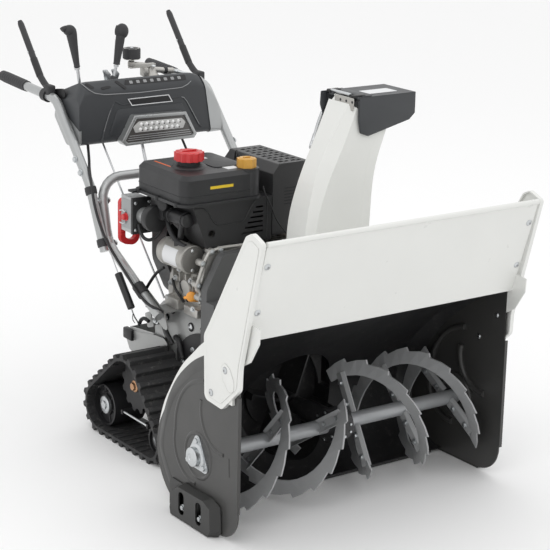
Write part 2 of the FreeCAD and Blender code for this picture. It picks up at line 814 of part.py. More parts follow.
def trackFrame():
    """Side plate that holds the roller, idler and drive axles, with lightening cut-outs."""
    inner = chassisHalfWidth + 6
    lobes = [(rollerY, rollerReach, 24), (idlerY, idlerReach, 28), (driveAxleY, driveAxleZ, 38)]
    body = Part.Face(beltWire(beltLegs(lobes), inner)).extrude(vec(framePlate, 0, 0))
    holes = [rod(vec(inner, driveAxleY, driveAxleZ), vec(inner + framePlate, driveAxleY, driveAxleZ),
                 axleRadius + shaftFit)]
    for y, z in ((rollerY, rollerReach), (idlerY, idlerReach)):
        holes.append(rod(vec(inner, y, z), vec(inner + framePlate, y, z), 10 + shaftFit))
    for window in ([(684, 76), (718, 76), (724, 82), (728, 126), (708, 134), (698, 126)],
                   [(762, 76), (840, 76), (844, 82), (804, 122), (772, 130), (764, 124)]):
        holes.append(plate(window, onX(inner), framePlate))
    return body.cut(holes)


def trackAxles():
    """Drive, idler and roller axles right across the machine, with a zinc cap at each idler."""
    driveEnd = trackInner + trackWidth - 38
    end = trackInner + trackWidth - 31
    drive = rod(vec(-driveEnd, driveAxleY, driveAxleZ), vec(driveEnd, driveAxleY, driveAxleZ), axleRadius)
    idler = rod(vec(-end, idlerY, idlerReach), vec(end, idlerY, idlerReach), 10)
    roller = rod(vec(-end, rollerY, rollerReach), vec(end, rollerY, rollerReach), 10)
    cap = rod(vec(end, idlerY, idlerReach), vec(end + 5, idlerY, idlerReach), 26)
    idler = fuse([idler, cap, mirrorX(cap)])
    return Part.makeCompound([drive, idler, roller])


# ---------------------------------------------------------------- chassis

def chassis():
    """Folded steel tub between the tracks: sides, engine deck, front plate and belly."""
    half = chassisHalfWidth
    t = plateThickness
    front = drumBack
    deckFront = beltCoverBack + seatGap
    low = 330.0
    side = [(front, chassisFloor), (front, low), (deckFront, low), (deckFront, chassisTop), (800, chassisTop),
            (828, 376, 8),
            (828, 292), (790, 250), (790, driveAxleZ, 20), (770, chassisFloor, 12)]
    wall = plate(side, onX(half - t), t)
    hole = rod(vec(half - t, driveAxleY, driveAxleZ), vec(half, driveAxleY, driveAxleZ),
               axleRadius + shaftFit)
    wall = wall.cut(hole)
    deck = block((-half, half), (deckFront, 800), (chassisTop - t, chassisTop))
    nose = block((-half, half), (front, front + t), (chassisFloor, low))
    belly = block((-half, half), (front, 700), (chassisFloor, chassisFloor + t))
    shaftHole = rod(vec(0, front, augerZ), vec(0, front + t, augerZ), impellerShaftRadius + 1)
    bracket = handleBracket()
    return fuse([wall, mirrorX(wall), deck, nose.cut(shaftHole), belly, bracket, mirrorX(bracket)])


def handleBracket():
    """Channel on the chassis side that takes the foot of a handle leg."""
    half = chassisHalfWidth
    t = plateThickness
    cheekX = legX - tubeRadius - t
    deck = block((half, cheekX + t), (700, 770), (chassisTop - t, chassisTop))
    cheek = plate([(676, 352, 8), (700, 352, 8), (800, 400, 8), (800, 450, 8), (700, 404, 8)],
                  onX(cheekX), t)
    return fuse([deck, cheek])


def rearTray():
    """Open-topped box behind the engine deck, over the rear of the tracks."""
    half = trayHalfWidth
    t = sheetThickness
    outer = plate([(828, 222), (937, 221, 10), (962, 246, 8), (962, 282), (828, 296)], onX(-half), 2 * half)
    room = plate([(828 + t, 225), (935, 224, 10), (959, 247, 8), (959, 300), (828 + t, 300)],
                 onX(-half + t), 2 * (half - t))
    return outer.cut(room)


# ---------------------------------------------------------------- engine

def beltCover():
    """Black cover of the drive belts: a low box and a taller one set back behind the chute."""
    t = sheetThickness
    left, right, top = -190.0, 150.0, 598.0
    low = [(left, 334, 10), (left, beltCoverStep), (right, beltCoverStep), (right, 334, 10)]
    high = [(left, beltCoverStep - t), (left, 502, 40), (left + 53, top, 20), (right - 32, top, 20),
            (right, top - 32, 20), (right, beltCoverStep - t)]
    solids = []
    rooms = []
    for corners, front in ((low, beltCoverFront), (high, beltCoverUpperFront)):
        solids.append(plate(corners, onY(front), beltCoverBack - front))
        inset = Part.Face(outline(corners, onY(front + t)).makeOffset2D(-t))
        rooms.append(inset.extrude(vec(0, beltCoverBack - front, 0)))
    return fuse(solids).cut(rooms)


def crankcase():
    """Cast engine block: base flange, crankcase, front cover, shaft boss and sloping cylinder."""
    low = chassisTop
    back = fanFront - seatGap
    base = block((-150, 118), (590, back), (low, low + 12))
    body = plate([(-148, low), (-162, 440, 30), (-150, 516, 20), (-122, 528, 12), (-96, 576, 20),
                  (40, 590, 30), (104, 560, 20), (104, low)], onY(592), back - 592)
    cover = plate([(-120, 450, 20), (-190, 484, 16), (-158, 592, 18), (-34, 603, 8), (60, 590, 30),
                   (100, 470, 30)], onY(566), 26)
    shaft = rod(vec(0, beltCoverUpperFront + 8, crankZ), vec(0, 566, crankZ), 12.7)
    column = block((-110, -20), (640, 720), (520, tankBottom - sheetThickness - seatGap))
    return fuse([base, body, cover, shaft, column])


def cylinderHead():
    """Finned cylinder and head on the +X side of the crankcase."""
    pieces = [block((104, 210), (612, 722), (470, 580))]
    for k in range(7):
        x = 112 + 13 * k
        pieces.append(block((x, x + 4), (600, 734), (458, 592)))
    pieces.append(block((204, 226), (606, 728), (464, 586)))
    return fuse(pieces)


def cowlBody():
    """Outer form of the shroud: slanted left side, its lower edge rising to the rear."""
    corners = [(-160, 604, 10), (-206, tankBottom), (56, tankBottom), (56, 604, 10)]
    body = plate(corners, onY(cowlFront), fanFront - seatGap - cowlFront)
    rise = plate([(640, 600), (fanFront, 600), (fanFront, 672)], onX(-260), 200)
    return body.cut(rise)


def engineCowl():
    """Shroud under the tank with louvres on its front, open below."""
    t = sheetThickness
    back = fanFront - seatGap
    room = plate([(-158 + t, 598), (-206 + t, tankBottom - t), (56 - t, tankBottom - t), (56 - t, 598)],
                 onY(cowlFront + t), back - cowlFront - 2 * t)
    front = (cowlFront - 1, cowlFront + t + 1)
    cuts = [room, rod(vec(-144, front[0], 646), vec(-144, front[1], 646), 8)]
    for k in range(6):
        z = 632 + 14 * k
        cuts.append(block((9 * k - 43, 27), front, (z, z + 5)))
    return cutAll(cowlBody(), cuts)


def fuelTank():
    """Moulded tank with a lip round its foot, the filler neck and a round boss under the oil cap."""
    body = plate([(-238, 570, 30), (18, 570, 30), (18, 827, 30), (-238, 827, 30)], onZ(tankBottom),
                 tankTop - tankBottom)
    body = body.makeChamfer(12, [e for e in body.Edges if e.BoundBox.ZMin > tankTop - 0.1])
    lip = plate([(-246, 564, 32), (24, 564, 32), (24, 833, 32), (-246, 833, 32)], onZ(tankBottom), 8)
    tab = block((-264, -230), (796, 822), (tankBottom, tankBottom + 6))
    neck = rod(vec(-146, 690, tankTop - 2), vec(-146, 690, tankTop + 18), 32)
    boss = rod(vec(-12, 604, tankBottom), vec(-12, 604, tankTop), 35)
    return fuse([body, lip, tab, neck, boss])


def knob(centre, radius, height, lobes, depth):
    """Screw cap with a wavy grip round its rim."""
    count = 4 * lobes
    corners = []
    for k in range(count):
        turn = 2 * math.pi * k / count
        r = radius - depth * (1 - math.cos(lobes * turn)) / 2
        corners.append((centre[0] + r * math.cos(turn), centre[1] + r * math.sin(turn)))
    return plate(corners, onZ(centre[2]), height)


def fuelCap():
    return knob((-146, 690, tankTop + 18), 42, 24, 12, 5)


def oilCap():
    return knob((-12, 604, tankTop), 28, 25, 8, 3)


def mufflerGuard():
    """Sheet guard over the silencer with a chamfered, slotted top."""
    t = 2.5
    left, right, low, top = 62.0, 210.0, 614.0, 816.0
    front, back = 580.0, 828.0
    body = plate([(left, low), (left, top - 26, 6), (left + 22, top, 6), (right - 20, top, 10),
                  (right, top - 20, 10), (right, low)], onY(front), back - front)
    room = plate([(left + t, low - 14), (left + t, top - 27), (left + 23, top - t), (right - 21, top - t),
                  (right - t, top - 21), (right - t, low - 14)], onY(front + t), back - front - 2 * t)
    cuts = [room]
    for k in range(8):
        y = front + 24 + 27 * k
        for x in (100, 142):
            cuts.append(block((x, x + 34), (y, y + 11), (top - 6, top + 4)))
        cuts.append(block((right - 4, right + 4), (y, y + 11), (low + 50, top - 60)))
    legs = [block((right - 23, right - t), (y, y + 14), (592 + seatGap, low + 26)) for y in (620, 700)]
    return fuse([cutAll(body, cuts)] + legs)


def muffler():
    body = plate([(84, 634, 20), (84, 786, 20), (188, 786, 20), (188, 634, 20)], onY(600), 178)
    stub = rod(vec(140, 640, 592), vec(140, 640, 640), 16)
    return fuse([body, stub])


def blowerHousing():
    """Fan housing and recoil cover at the rear of the engine, with a slotted face."""
    low = chassisTop + 4
    drum = plate([(-168, 640, 40), (-168, 520, 80), (-118, low, 50), (118, low, 50), (168, 520, 80),
                  (160, 586, 20), (56, 586), (56, 640, 20)], onY(fanFront), fanBack - fanFront)
    rim = rod(vec(0, fanBack, crankZ), vec(0, recoilBack, crankZ), recoilRadius)
    slots = []
    for k in range(16):
        slot = block((52, 96), (recoilBack - 20, recoilBack + 10), (-5, 5))
        slot.rotate(vec(0, 0, 0), axisY, 360 / 16 * k)
        slot.translate(vec(0, 0, crankZ))
        slots.append(slot)
    return fuse([drum, rim]).cut(slots)


def pullHandle():
    """D-shaped starter handle with its rope guide."""
    front = recoilBack + seatGap
    outer = plate([(-247, 560, 24), (-247, 692, 14), (-157, 692, 14), (-190, 549, 24)], onY(front), 16)
    inner = plate([(-231, 574, 12), (-231, 660, 10), (-182, 660, 10), (-200, 566, 12)], onY(front - 1), 18)
    rope = rod(vec(-184, front + 8, 640), vec(-62, recoilBack - 20, 560), 3).cut(blowerHousing())
    return fuse([outer.cut(inner), rope])


def starterMotor():
    """Electric starter beside the crankcase: drum, end plates and mounting ear."""
    x, z, r = starterX, starterZ, starterRadius
    body = rod(vec(x, 622, z), vec(x, 744, z), r)
    cap = rod(vec(x, 612, z), vec(x, 622, z), r - 3)
    rear = rod(vec(x, 744, z), vec(x, 758, z), r - 9)
    ear = block((x, -90), (636, 726), (z - 24, z + 4))
    return fuse([body, cap, rear, ear]).cut(crankcase())


def switchBox():
    """Starter switch box with its flange, solenoid drum and round cover."""
    box = block((-262, -214), (switchFront, switchBack), (612, 714))
    flange = block((-266, -208), (switchFront - 8, switchFront), (616, 710))
    drum = rod(vec(-232, 745, 664), vec(-232, 792, 664), 24)
    cover = rod(vec(-232, 722, 668), vec(-232, 745, 668), 37)
    arm = block((-222, -150), (748, fanFront - seatGap), (676, 700))
    return fuse([box, flange, drum, cover, arm]).cut(cowlBody())


# ---------------------------------------------------------------- handles and console

def handlePath(x):
    return [vec(x, gripEndY - 4.3, gripHeight), vec(x, 1240, gripHeight - 18),
            vec(x, 1040, 705), vec(x, 955, 525)]


def handleTube():
    """Upper handle on the +X side: grip run, bend beside the console and leg."""
    return bentTube(handlePath(handleX), [0, 60, 90, 0], tubeRadius)


def lowerHandle():
    """Hoop of the lower handle: two cranked legs and the crossbar over the engine."""
    z = 724.0
    y = 1028.0
    points = [vec(-legX, 700, 390), vec(-legX, 985, 540), vec(-legX, y, z), vec(legX, y, z),
              vec(legX, 985, 540), vec(legX, 700, 390)]
    return bentTube(points, [0, 90, 65, 65, 90, 0], tubeRadius)


def consoleBody():
    half = consoleWidth / 2
    corners = [(1128, 800, 20), (1126, 960, 30), (1150, 988, 16), (1262, 948, 20), (1274, 900, 16),
               (1205, 796, 16)]
    return plate(corners, onX(-half), 2 * half)


def console():
    half = consoleWidth / 2
    room = plate([(1134, 806, 14), (1132, 956, 24), (1152, 980, 10), (1256, 942, 14), (1267, 900, 10),
                  (1202, 802, 10)], onX(-half + 4), 2 * half - 8)
    return consoleBody().cut(room)


def workLamp():
    face = [(-76, 881, 8), (105, 877, 8), (144, 806, 10), (134, 794, 8), (-104, 792, 8), (-119, 806, 8)]
    return plate(face, onY(1106), 30).cut(consoleBody())


def grips():
    """Rubber sleeves over the handle ends, closed at the tip."""
    path = handlePath(handleX)
    along = (path[0] - path[1]).normalize()
    tip = path[0] + along * 0.3
    start = path[0] - along * gripLength
    sleeve = ring(start, tip, gripRadius, tubeRadius)
    cap = rod(tip, tip + along * 4, gripRadius)
    return pair(fuse([sleeve, cap]))


def clutchLever():
    """Bent round lever on a clamp behind the console, standing open above the grip."""
    path = handlePath(handleX)
    along = (path[0] - path[1]).normalize()
    start = path[1] + along * 44
    clamp = ring(start, start + along * 24, tubeRadius + 6, tubeRadius)
    line = [vec(handleX, start.y + 8, start.z + tubeRadius + 9), vec(handleX, 1322, 962),
            vec(handleX, 1462, 1128)]
    bar = bentTube(line, 22, leverRadius)
    rise = (line[2] - line[1]).normalize()
    sleeve = rod(line[1] + rise * 24, line[1] + rise * 84, leverRadius + 4)
    return fuse([clamp, bar, sleeve])


def gearLever():
    stem = rod(vec(-208, 1190, 962), vec(-219, 1190, 1032), 5)
    grip = rod(vec(-217, 1190, 1024), vec(-236, 1190, 1128), 13)
    head = rod(vec(-252, 1190, 1124), vec(-222, 1190, 1142), 15)
    return fuse([stem, grip, head]).cut(consoleBody())


def deflectorLever():
    stem = rod(vec(-96, 1190, 962), vec(-86, 1190, 1032), 5)
    grip = rod(vec(-87, 1190, 1024), vec(-66, 1190, 1116), 14)
    head = rod(vec(-84, 1190, 1106), vec(-50, 1190, 1134), 15)
    return fuse([stem, grip, head]).cut(consoleBody())


def chuteCrank():
    """Turning knob on a cranked arm above the console."""
    post = rod(vec(59, 1226, 958), vec(59, 1226, 1000), 9)
    arm = block((-20, 68), (1218, 1234), (1000, 1010))
    spindle = rod(vec(-12, 1226, 1010), vec(-12, 1226, 1028), 6)
    head = knob((-12, 1226, 1028), 26.5, 33, 8, 2.5)
    return fuse([post, arm, spindle, head]).cut(consoleBody())


def dipstick():
    """Oil filler plug low on the crankcase, with a flat tab to turn it by."""
    tube = rod(vec(-150, 634, 446), vec(-168, 636, 451), 11)
    cap = rod(vec(-168, 636, 451), vec(-176, 637, 453), 15)
    tab = block((-188, -174), (634, 640), (441, 465))
    return fuse([tube, cap, tab]).cut(crankcase())


def controlCables():
    """Black cables from the console to the drive, the engine and the chute."""
    drive = [vec(-205, 1156, 802), vec(-228, 1106, 770), vec(-256, 1056, 750), vec(-272, 1016, 716),
             vec(-279, 990, 664), vec(-277, 962, 608), vec(-270, 928, 556), vec(-260, 886, 512),
             vec(-257, 838, 480), vec(-257, 788, 446), vec(-257, 736, 424), vec(-250, 690, 408)]
    clutch = [vec(120, 1168, 802), vec(121, 1090, 716), vec(128, 990, 610), vec(146, 900, 500),
              vec(152, 840, 432), vec(150, 794, 403.6)]
    return Part.makeCompound([cordTube(drive, 4, 18), cordTube(clutch, 3.5, 10)]).cut(consoleBody())


def controlRods():
    """Steel rod on the left and black rod in the middle, from the console to the drive."""
    speed = rod(vec(-150, 1168, 802), vec(-150, 812, 404), 3)
    reach = rod(vec(-20, 1160, 802), vec(-20, 922, 231), 5)
    return Part.makeCompound([speed, reach]).cut(consoleBody())


pieces = {}


def add(name, shape):
    pieces[name] = shape


add("housing_shell", housingShell())
side = sidePlate()
add("side_plate_right", side)
add("side_plate_left", mirrorX(side))
add("scraper_blade", scraperBlade())
add("impeller_drum", impellerDrum())
add("auger_shaft", augerShaft())
add("auger_flight_right", augerFlight(1, rightStartAngle))
add("auger_flight_left", augerFlight(-1, leftStartAngle))
add("auger_gearbox", augerGearbox())
add("auger_bearings", pair(augerBearing()))
add("impeller", impeller())
add("visor_panel", visorPanel())
add("visor_brackets", pair(visorBracket()))
add("skid_shoes", pair(skidShoe()))
add("chute", chute())
add("deflector_hood", deflectorHood())
track = trackLoop()
add("track_right", track)
add("track_left", mirrorX(track))
add("rear_idlers", pair(idlerWheel(idlerY, idlerReach, idlerReach - lugHeight - bandThickness - wheelGap,
                                   10 + shaftFit)))
add("front_rollers", pair(idlerWheel(rollerY, rollerReach,
                                     rollerReach - lugHeight - bandThickness - wheelGap, 10 + shaftFit)))
add("drive_sprockets", pair(driveSprocket()))
add("track_frames", pair(trackFrame()))
add("track_axles", trackAxles())
add("chassis", chassis())
add("rear_tray", rearTray())
add("belt_cover", beltCover())
add("crankcase", crankcase())
add("cylinder_head", cylinderHead())
add("engine_cowl", engineCowl())
add("fuel_tank", fuelTank())
add("fuel_cap", fuelCap())
add("oil_cap", oilCap())
add("muffler_guard", mufflerGuard())
add("muffler", muffler())
add("blower_housing", blowerHousing())
add("pull_handle", pullHandle())
add("starter_motor", starterMotor())
add("switch_box", switchBox())
add("handle_right", handleTube())
add("handle_left", mirrorX(handleTube()))
add("lower_handle", lowerHandle())
add("console", console())
add("work_lamp", workLamp())
add("grips", grips())
add("clutch_levers", pair(clutchLever()))
add("gear_lever", gearLever())
add("deflector_lever", deflectorLever())
add("chute_crank", chuteCrank())
add("dipstick", dipstick())
add("control_cables", controlCables())
add("control_rods", controlRods())

os.makedirs("parts", exist_ok=True)
for name, shape in pieces.items():
    shape.translate(vec(0, -centreY, 0))
    shape.exportStep("parts/" + name + ".step")
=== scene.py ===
import bpy
import bmesh
from math import acos, cos, pi, radians, sin, sqrt, tan
from mathutils import Matrix, Vector


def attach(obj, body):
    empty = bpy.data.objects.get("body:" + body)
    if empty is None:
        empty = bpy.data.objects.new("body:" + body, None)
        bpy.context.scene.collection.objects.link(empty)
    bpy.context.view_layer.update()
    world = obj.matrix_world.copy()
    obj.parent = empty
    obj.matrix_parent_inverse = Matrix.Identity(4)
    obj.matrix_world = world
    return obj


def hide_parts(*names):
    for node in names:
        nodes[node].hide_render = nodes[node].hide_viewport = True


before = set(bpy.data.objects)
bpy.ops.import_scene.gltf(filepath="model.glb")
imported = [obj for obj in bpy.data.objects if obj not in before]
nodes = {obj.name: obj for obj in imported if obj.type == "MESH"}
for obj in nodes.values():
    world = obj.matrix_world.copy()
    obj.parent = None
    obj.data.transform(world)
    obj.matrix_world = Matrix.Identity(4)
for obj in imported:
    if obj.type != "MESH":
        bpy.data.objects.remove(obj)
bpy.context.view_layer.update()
print("frame loaded")

# places are written in millimetres, with y = 0 at the intake's mouth
middleY = 0.7375  # metres from there back to the frame's middle


def mm(x, y, z):
    return Vector((x / 1000, y / 1000 - middleY, z / 1000))


# camera

camera = {
    "place": (-2769.9, -3424.1, 1895.3),
    "heading": 35.4,
    "down": 15.9,
    "roll": 1.2,
    "lens": 117.73,
}


def makeCamera(s):
    heading, down, roll = (radians(s[k]) for k in ("heading", "down", "roll"))
    forward = Vector((sin(heading) * cos(down), cos(heading) * cos(down), -sin(down)))
    right = Vector((cos(heading), -sin(heading), 0))
    up = right.cross(forward)
    rolledRight = right * cos(roll) + up * sin(roll)
    rolledUp = up * cos(roll) - right * sin(roll)
    data = bpy.data.cameras.new("camera")
    data.lens = s["lens"]
    data.sensor_width = 36
    data.clip_end = 50
    cam = bpy.data.objects.new("camera", data)
    cam.matrix_world = Matrix.Translation(mm(*s["place"])) @ Matrix(
        (rolledRight, rolledUp, -forward)).transposed().to_4x4()
    bpy.context.scene.collection.objects.link(cam)
    bpy.context.scene.camera = cam


makeCamera(camera)

# material tools


def newMaterial(name):
    mat = bpy.data.materials.new(name)
    mat.use_nodes = True
    return mat, mat.node_tree, mat.node_tree.nodes["Principled BSDF"]


def node(tree, kind, **values):
    n = tree.nodes.new(kind)
    for key, value in values.items():
        if key in n.inputs:
            n.inputs[key].default_value = value
        else:
            setattr(n, key, value)
    return n


def noise(tree, coords, scale, detail, rough=0.55):
    n = node(tree, "ShaderNodeTexNoise", Scale=scale, Detail=detail, Roughness=rough)
    tree.links.new(coords, n.inputs["Vector"])
    return n.outputs["Fac"]


def ramp(tree, value, stops):
    n = tree.nodes.new("ShaderNodeValToRGB")
    for element, (place, color) in zip(n.color_ramp.elements, stops):
        element.position = place
        element.color = (*color, 1)
    tree.links.new(value, n.inputs["Fac"])
    return n.outputs["Color"]


def remap(tree, value, low, high, toLow, toHigh):
    n = node(tree, "ShaderNodeMapRange", **{"From Min": low, "From Max": high, "To Min": toLow, "To Max": toHigh})
    tree.links.new(value, n.inputs["Value"])
    return n.outputs["Result"]


def dusted(tree, coords, base, amount, dustColor=(0.5, 0.48, 0.45)):
    speck = noise(tree, coords, 60, 8, 0.7)
    n = node(tree, "ShaderNodeMix", data_type="RGBA")
    factor, under, over = n.inputs[0], n.inputs[6], n.inputs[7]
    tree.links.new(remap(tree, speck, 0.55, 0.8, 0, amount), factor)
    tree.links.new(base, under)
    over.default_value = (*dustColor, 1)
    return n.outputs[2]


def shade(color, factor):
    return tuple(min(1, c * factor) for c in color)


def plainFinish(name, color, rough, metal=0, coat=0, spread=0.06, broad=6, dust=0, roughSpread=0.05, smear=14,
                grain=900, bump=0.15, depth=0.0004, **rest):
    mat, tree, shader = newMaterial(name)
    coords = tree.nodes.new("ShaderNodeTexCoord").outputs["Object"]
    stops = [(0.3, shade(color, 1 - spread)), (0.7, shade(color, 1 + spread))]
    base = ramp(tree, noise(tree, coords, broad, 5), stops)
    if dust:
        base = dusted(tree, coords, base, dust)
    tree.links.new(base, shader.inputs["Base Color"])
    for socket, value in (("Metallic", metal), ("Coat Weight", coat), ("Coat Roughness", 0.15)):
        shader.inputs[socket].default_value = value
    smears = remap(tree, noise(tree, coords, smear, 6, 0.6), 0.3, 0.7, rough - roughSpread, rough + roughSpread)
    tree.links.new(smears, shader.inputs["Roughness"])
    relief = node(tree, "ShaderNodeBump", Strength=bump, Distance=depth)
    tree.links.new(noise(tree, coords, grain, 3, 0.5), relief.inputs["Height"])
    tree.links.new(relief.outputs["Normal"], shader.inputs["Normal"])
    return mat


def look(color, rough, **more):  # slot: the record's material; nodes: the CAD nodes that wear it
    return dict(color=color, rough=rough, **more)


finishes = {
    "whiteCoat": look((0.74, 0.745, 0.72), 0.32, coat=0.35, spread=0.015, grain=700, bump=0.05, depth=0.0003,
        slot="white_powder_coat", nodes="visor_panel visor_brackets chute"),
    "darkCoat": look((0.043, 0.0425, 0.041), 0.42, coat=0.2, spread=0.08, grain=800, bump=0.12,
        slot="dark_plate_coat", nodes="side_plate_left side_plate_right"),
    "blackPaint": look((0.02, 0.02, 0.021), 0.38, spread=0.15, dust=0.15, coat=0.1, slot="black_paint",
        nodes="housing_shell scraper_blade impeller_drum impeller auger_gearbox track_frames"),
    "silverPaint": look((0.33, 0.335, 0.33), 0.36, metal=0.5, spread=0.04, coat=0.3, slot="silver_paint",
        nodes="chassis rear_tray"),
    # upper tubes, console cheeks and switch box: the same silver paint made lighter, as painted light; silverPaint is
    # the darker copy for the low chassis and tray
    "litSilverPaint": look((0.42, 0.43, 0.43), 0.34, metal=0.55, spread=0.04, coat=0.3, slot="silver_paint",
        nodes="handle_left handle_right lower_handle switch_box"),
    "zinc": look((0.60, 0.62, 0.63), 0.3, metal=1, spread=0.05, broad=20, roughSpread=0.04, smear=30,
        slot="zinc_steel", nodes="auger_bearings track_axles"),
    # skid shoes: the plates' dark coat painted darker, as painted shade for their low place
    "shadedSkidCoat": look((0.021, 0.021, 0.02), 0.4, coat=0.15, spread=0.1, grain=800, bump=0.12, slot="dark_plate_coat",
        nodes="skid_shoes"),
    # belt cover: the charcoal plastic painted lighter, as painted light on its lit face
    "litCoverCharcoal": look((0.085, 0.086, 0.087), 0.44, spread=0.05, grain=1500, bump=0.2, depth=0.00025,
        slot="charcoal_plastic", nodes="belt_cover"),
    "bronze": look((0.52, 0.30, 0.17), 0.34, metal=0.9, spread=0.1, slot="rust_steel"),
    "trackRubber": look((0.022, 0.022, 0.023), 0.62, spread=0.2, dust=0.25, grain=500, bump=0.35, depth=0.0006,
        slot="track_rubber", nodes="track_left track_right"),
    "blackPlastic": look((0.014, 0.014, 0.015), 0.45, spread=0.1, grain=1300, bump=0.25, depth=0.0003,
        slot="engine_plastic",
        nodes="rear_idlers front_rollers engine_cowl blower_housing clutch_levers gear_lever deflector_lever"),
    "charcoalPlastic": look((0.042, 0.045, 0.049), 0.46, spread=0.05, grain=1500, bump=0.25, depth=0.00025,
        slot="charcoal_plastic", nodes="console deflector_hood"),
    "tankPlastic": look((0.017, 0.0175, 0.019), 0.43, spread=0.06, grain=1500, bump=0.3, depth=0.00025,
        slot="tank_plastic", nodes="fuel_tank"),
    "redPlastic": look((0.60, 0.024, 0.028), 0.36, spread=0.08, coat=0.2, slot="red_plastic",
        nodes="fuel_cap pull_handle"),
    "amberPlastic": look((0.80, 0.34, 0.05), 0.38, spread=0.08, slot="amber_plastic", nodes="dipstick"),
    "honeyPlastic": look((0.62, 0.33, 0.055), 0.38, spread=0.06, slot="amber_plastic", nodes="oil_cap"),
    "castAluminium": look((0.50, 0.49, 0.465), 0.46, metal=0.8, spread=0.12, broad=25, grain=420, bump=0.5,
        depth=0.0008, slot="cast_aluminium", nodes="crankcase cylinder_head chute_crank"),
    "guardBlack": look((0.026, 0.026, 0.027), 0.42, spread=0.1, grain=1100, bump=0.25, slot="guard_steel",
        nodes="muffler_guard"),
    "dullSteel": look((0.23, 0.21, 0.19), 0.5, metal=0.9, spread=0.2, broad=30, nodes="muffler"),
    "lampSilver": look((0.40, 0.41, 0.41), 0.3, metal=0.6, spread=0.05, slot="lamp_silver", nodes="work_lamp"),
    "gripRubber": look((0.03, 0.03, 0.032), 0.6, spread=0.15, grain=700, bump=0.35, depth=0.0005, slot="grip_rubber",
        nodes="grips"),
    "cableBlack": look((0.012, 0.012, 0.013), 0.42, spread=0.1, slot="cable_black", nodes="control_cables"),
    "rodSteel": look((0.55, 0.56, 0.57), 0.28, metal=1, spread=0.08, broad=50, slot="rod_steel",
        nodes="control_rods"),
    "tubePaint": look((0.36, 0.37, 0.38), 0.36, metal=0.4, spread=0.08, coat=0.2, nodes="auger_shaft"),
    "augerGrey": look((0.35, 0.355, 0.36), 0.42, metal=0.15, spread=0.06, coat=0.15,
        nodes="auger_flight_left auger_flight_right"),
    "paleLabel": look((0.72, 0.73, 0.74), 0.35, spread=0.02, slot="white_powder_coat"),
    "deepBlack": look((0.008, 0.008, 0.009), 0.5, spread=0.1, slot="engine_plastic", nodes="drive_sprockets"),
    "starterGrey": look((0.42, 0.41, 0.385), 0.4, metal=0.35, spread=0.06, slot="silver_paint",
        nodes="starter_motor"),
    "starterFace": look((0.17, 0.165, 0.155), 0.38, metal=0.4, spread=0.05, slot="silver_paint"),
    "switchGrey": look((0.34, 0.35, 0.355), 0.4, metal=0.3, spread=0.05, slot="silver_paint"),
    "yellowLabel": look((0.72, 0.50, 0.02), 0.4, spread=0.03, slot="amber_plastic"),
    "orangeLabel": look((0.70, 0.12, 0.02), 0.4, spread=0.03, slot="red_plastic"),
    # glintGrey: the charcoal plastic painted lighter, for the painted highlights on the console's edges; also used
    # for the bolt sockets
    "glintGrey": look((0.27, 0.275, 0.28), 0.4, spread=0.05, slot="charcoal_plastic"),
    "lampDark": look((0.07, 0.065, 0.062), 0.3, spread=0.1, coat=0.5, slot="engine_plastic"),
    "lensClear": look((0.50, 0.50, 0.49), 0.12, spread=0.05, coat=1.0, slot="lamp_silver"),
    "ledWhite": look((0.92, 0.92, 0.92), 0.2, spread=0.02, coat=0.8, slot="lamp_silver"),
}
materials = {name: plainFinish(name, **s) for name, s in finishes.items()}
for finish, s in finishes.items():
    for name in s.get("nodes", "").split():
        mesh = nodes[name].data
        mesh.materials.clear()
        mesh.materials.append(materials[finish])
print("materials set")

# mesh tools: places, sizes and outlines are in millimetres

growing = bmesh.new()  # shapes collect here until makePiece turns them into an object
weldGap = 0.000005


def pointing(direction):  # -1 or 1 stands for sideways
    return Vector((direction, 0, 0)) if isinstance(direction, int) else Vector(direction).normalized()


def aimed(place, direction, turn=0):
    spin = Matrix.Rotation(radians(turn), 4, "Z")
    return Matrix.Translation(mm(*place)) @ pointing(direction).to_track_quat("Z", "Y").to_matrix().to_4x4() @ spin


def tilted(place, turn, axis="X"):
    return Matrix.Translation(mm(*place)) @ Matrix.Rotation(radians(turn), 4, axis)


def planeX(x):  # flat shapes drawn as (y, z), growing towards +X
    return Matrix(((0, 0, 1, x / 1000), (1, 0, 0, -middleY), (0, 1, 0, 0), (0, 0, 0, 1)))


def planeY(y):  # flat shapes drawn as (x, z), growing towards +Y
    return Matrix(((1, 0, 0, 0), (0, 0, 1, y / 1000 - middleY), (0, 1, 0, 0), (0, 0, 0, 1)))


def planeZ(z):  # flat shapes drawn as (x, y), growing upwards
    return Matrix(((1, 0, 0, 0), (0, 1, 0, -middleY), (0, 0, 1, z / 1000), (0, 0, 0, 1)))


def around(x, y, z, radius, a):  # a place on a circle that faces sideways
    return x, y + radius * cos(a), z + radius * sin(a)


def rect(x0, y0, x1, y1, *rounding):
    return [(x, y, *rounding) for x, y in ((x0, y0), (x1, y0), (x1, y1), (x0, y1))]


def smoothPath(points, steps=6):  # Catmull-Rom curve through the points
    path = []
    for k in range(len(points) - 1):
        a, b, c, d = (Vector(points[min(max(i, 0), len(points) - 1)]) for i in (k - 1, k, k + 1, k + 2))
        for step in range(steps):
            u = step / steps
            path.append((b * 2 + (c - a) * u + (a * 2 - b * 5 + c * 4 - d) * u ** 2
                         + (b * 3 - a - c * 3 + d) * u ** 3) / 2)
    return [tuple(p) for p in path] + [tuple(points[-1])]


def join(part, place=Matrix()):
    bmesh.ops.transform(part, matrix=place, verts=part.verts)
    mesh = bpy.data.meshes.new("part")
    part.to_mesh(mesh)
    part.free()
    growing.from_mesh(mesh)
    bpy.data.meshes.remove(mesh)


def bevel(part, geom, size, segments=2, affect="EDGES"):
    bmesh.ops.bevel(part, geom=geom, offset=size / 1000, offset_type="OFFSET", segments=segments, profile=0.5,
                    affect=affect, material=-1)


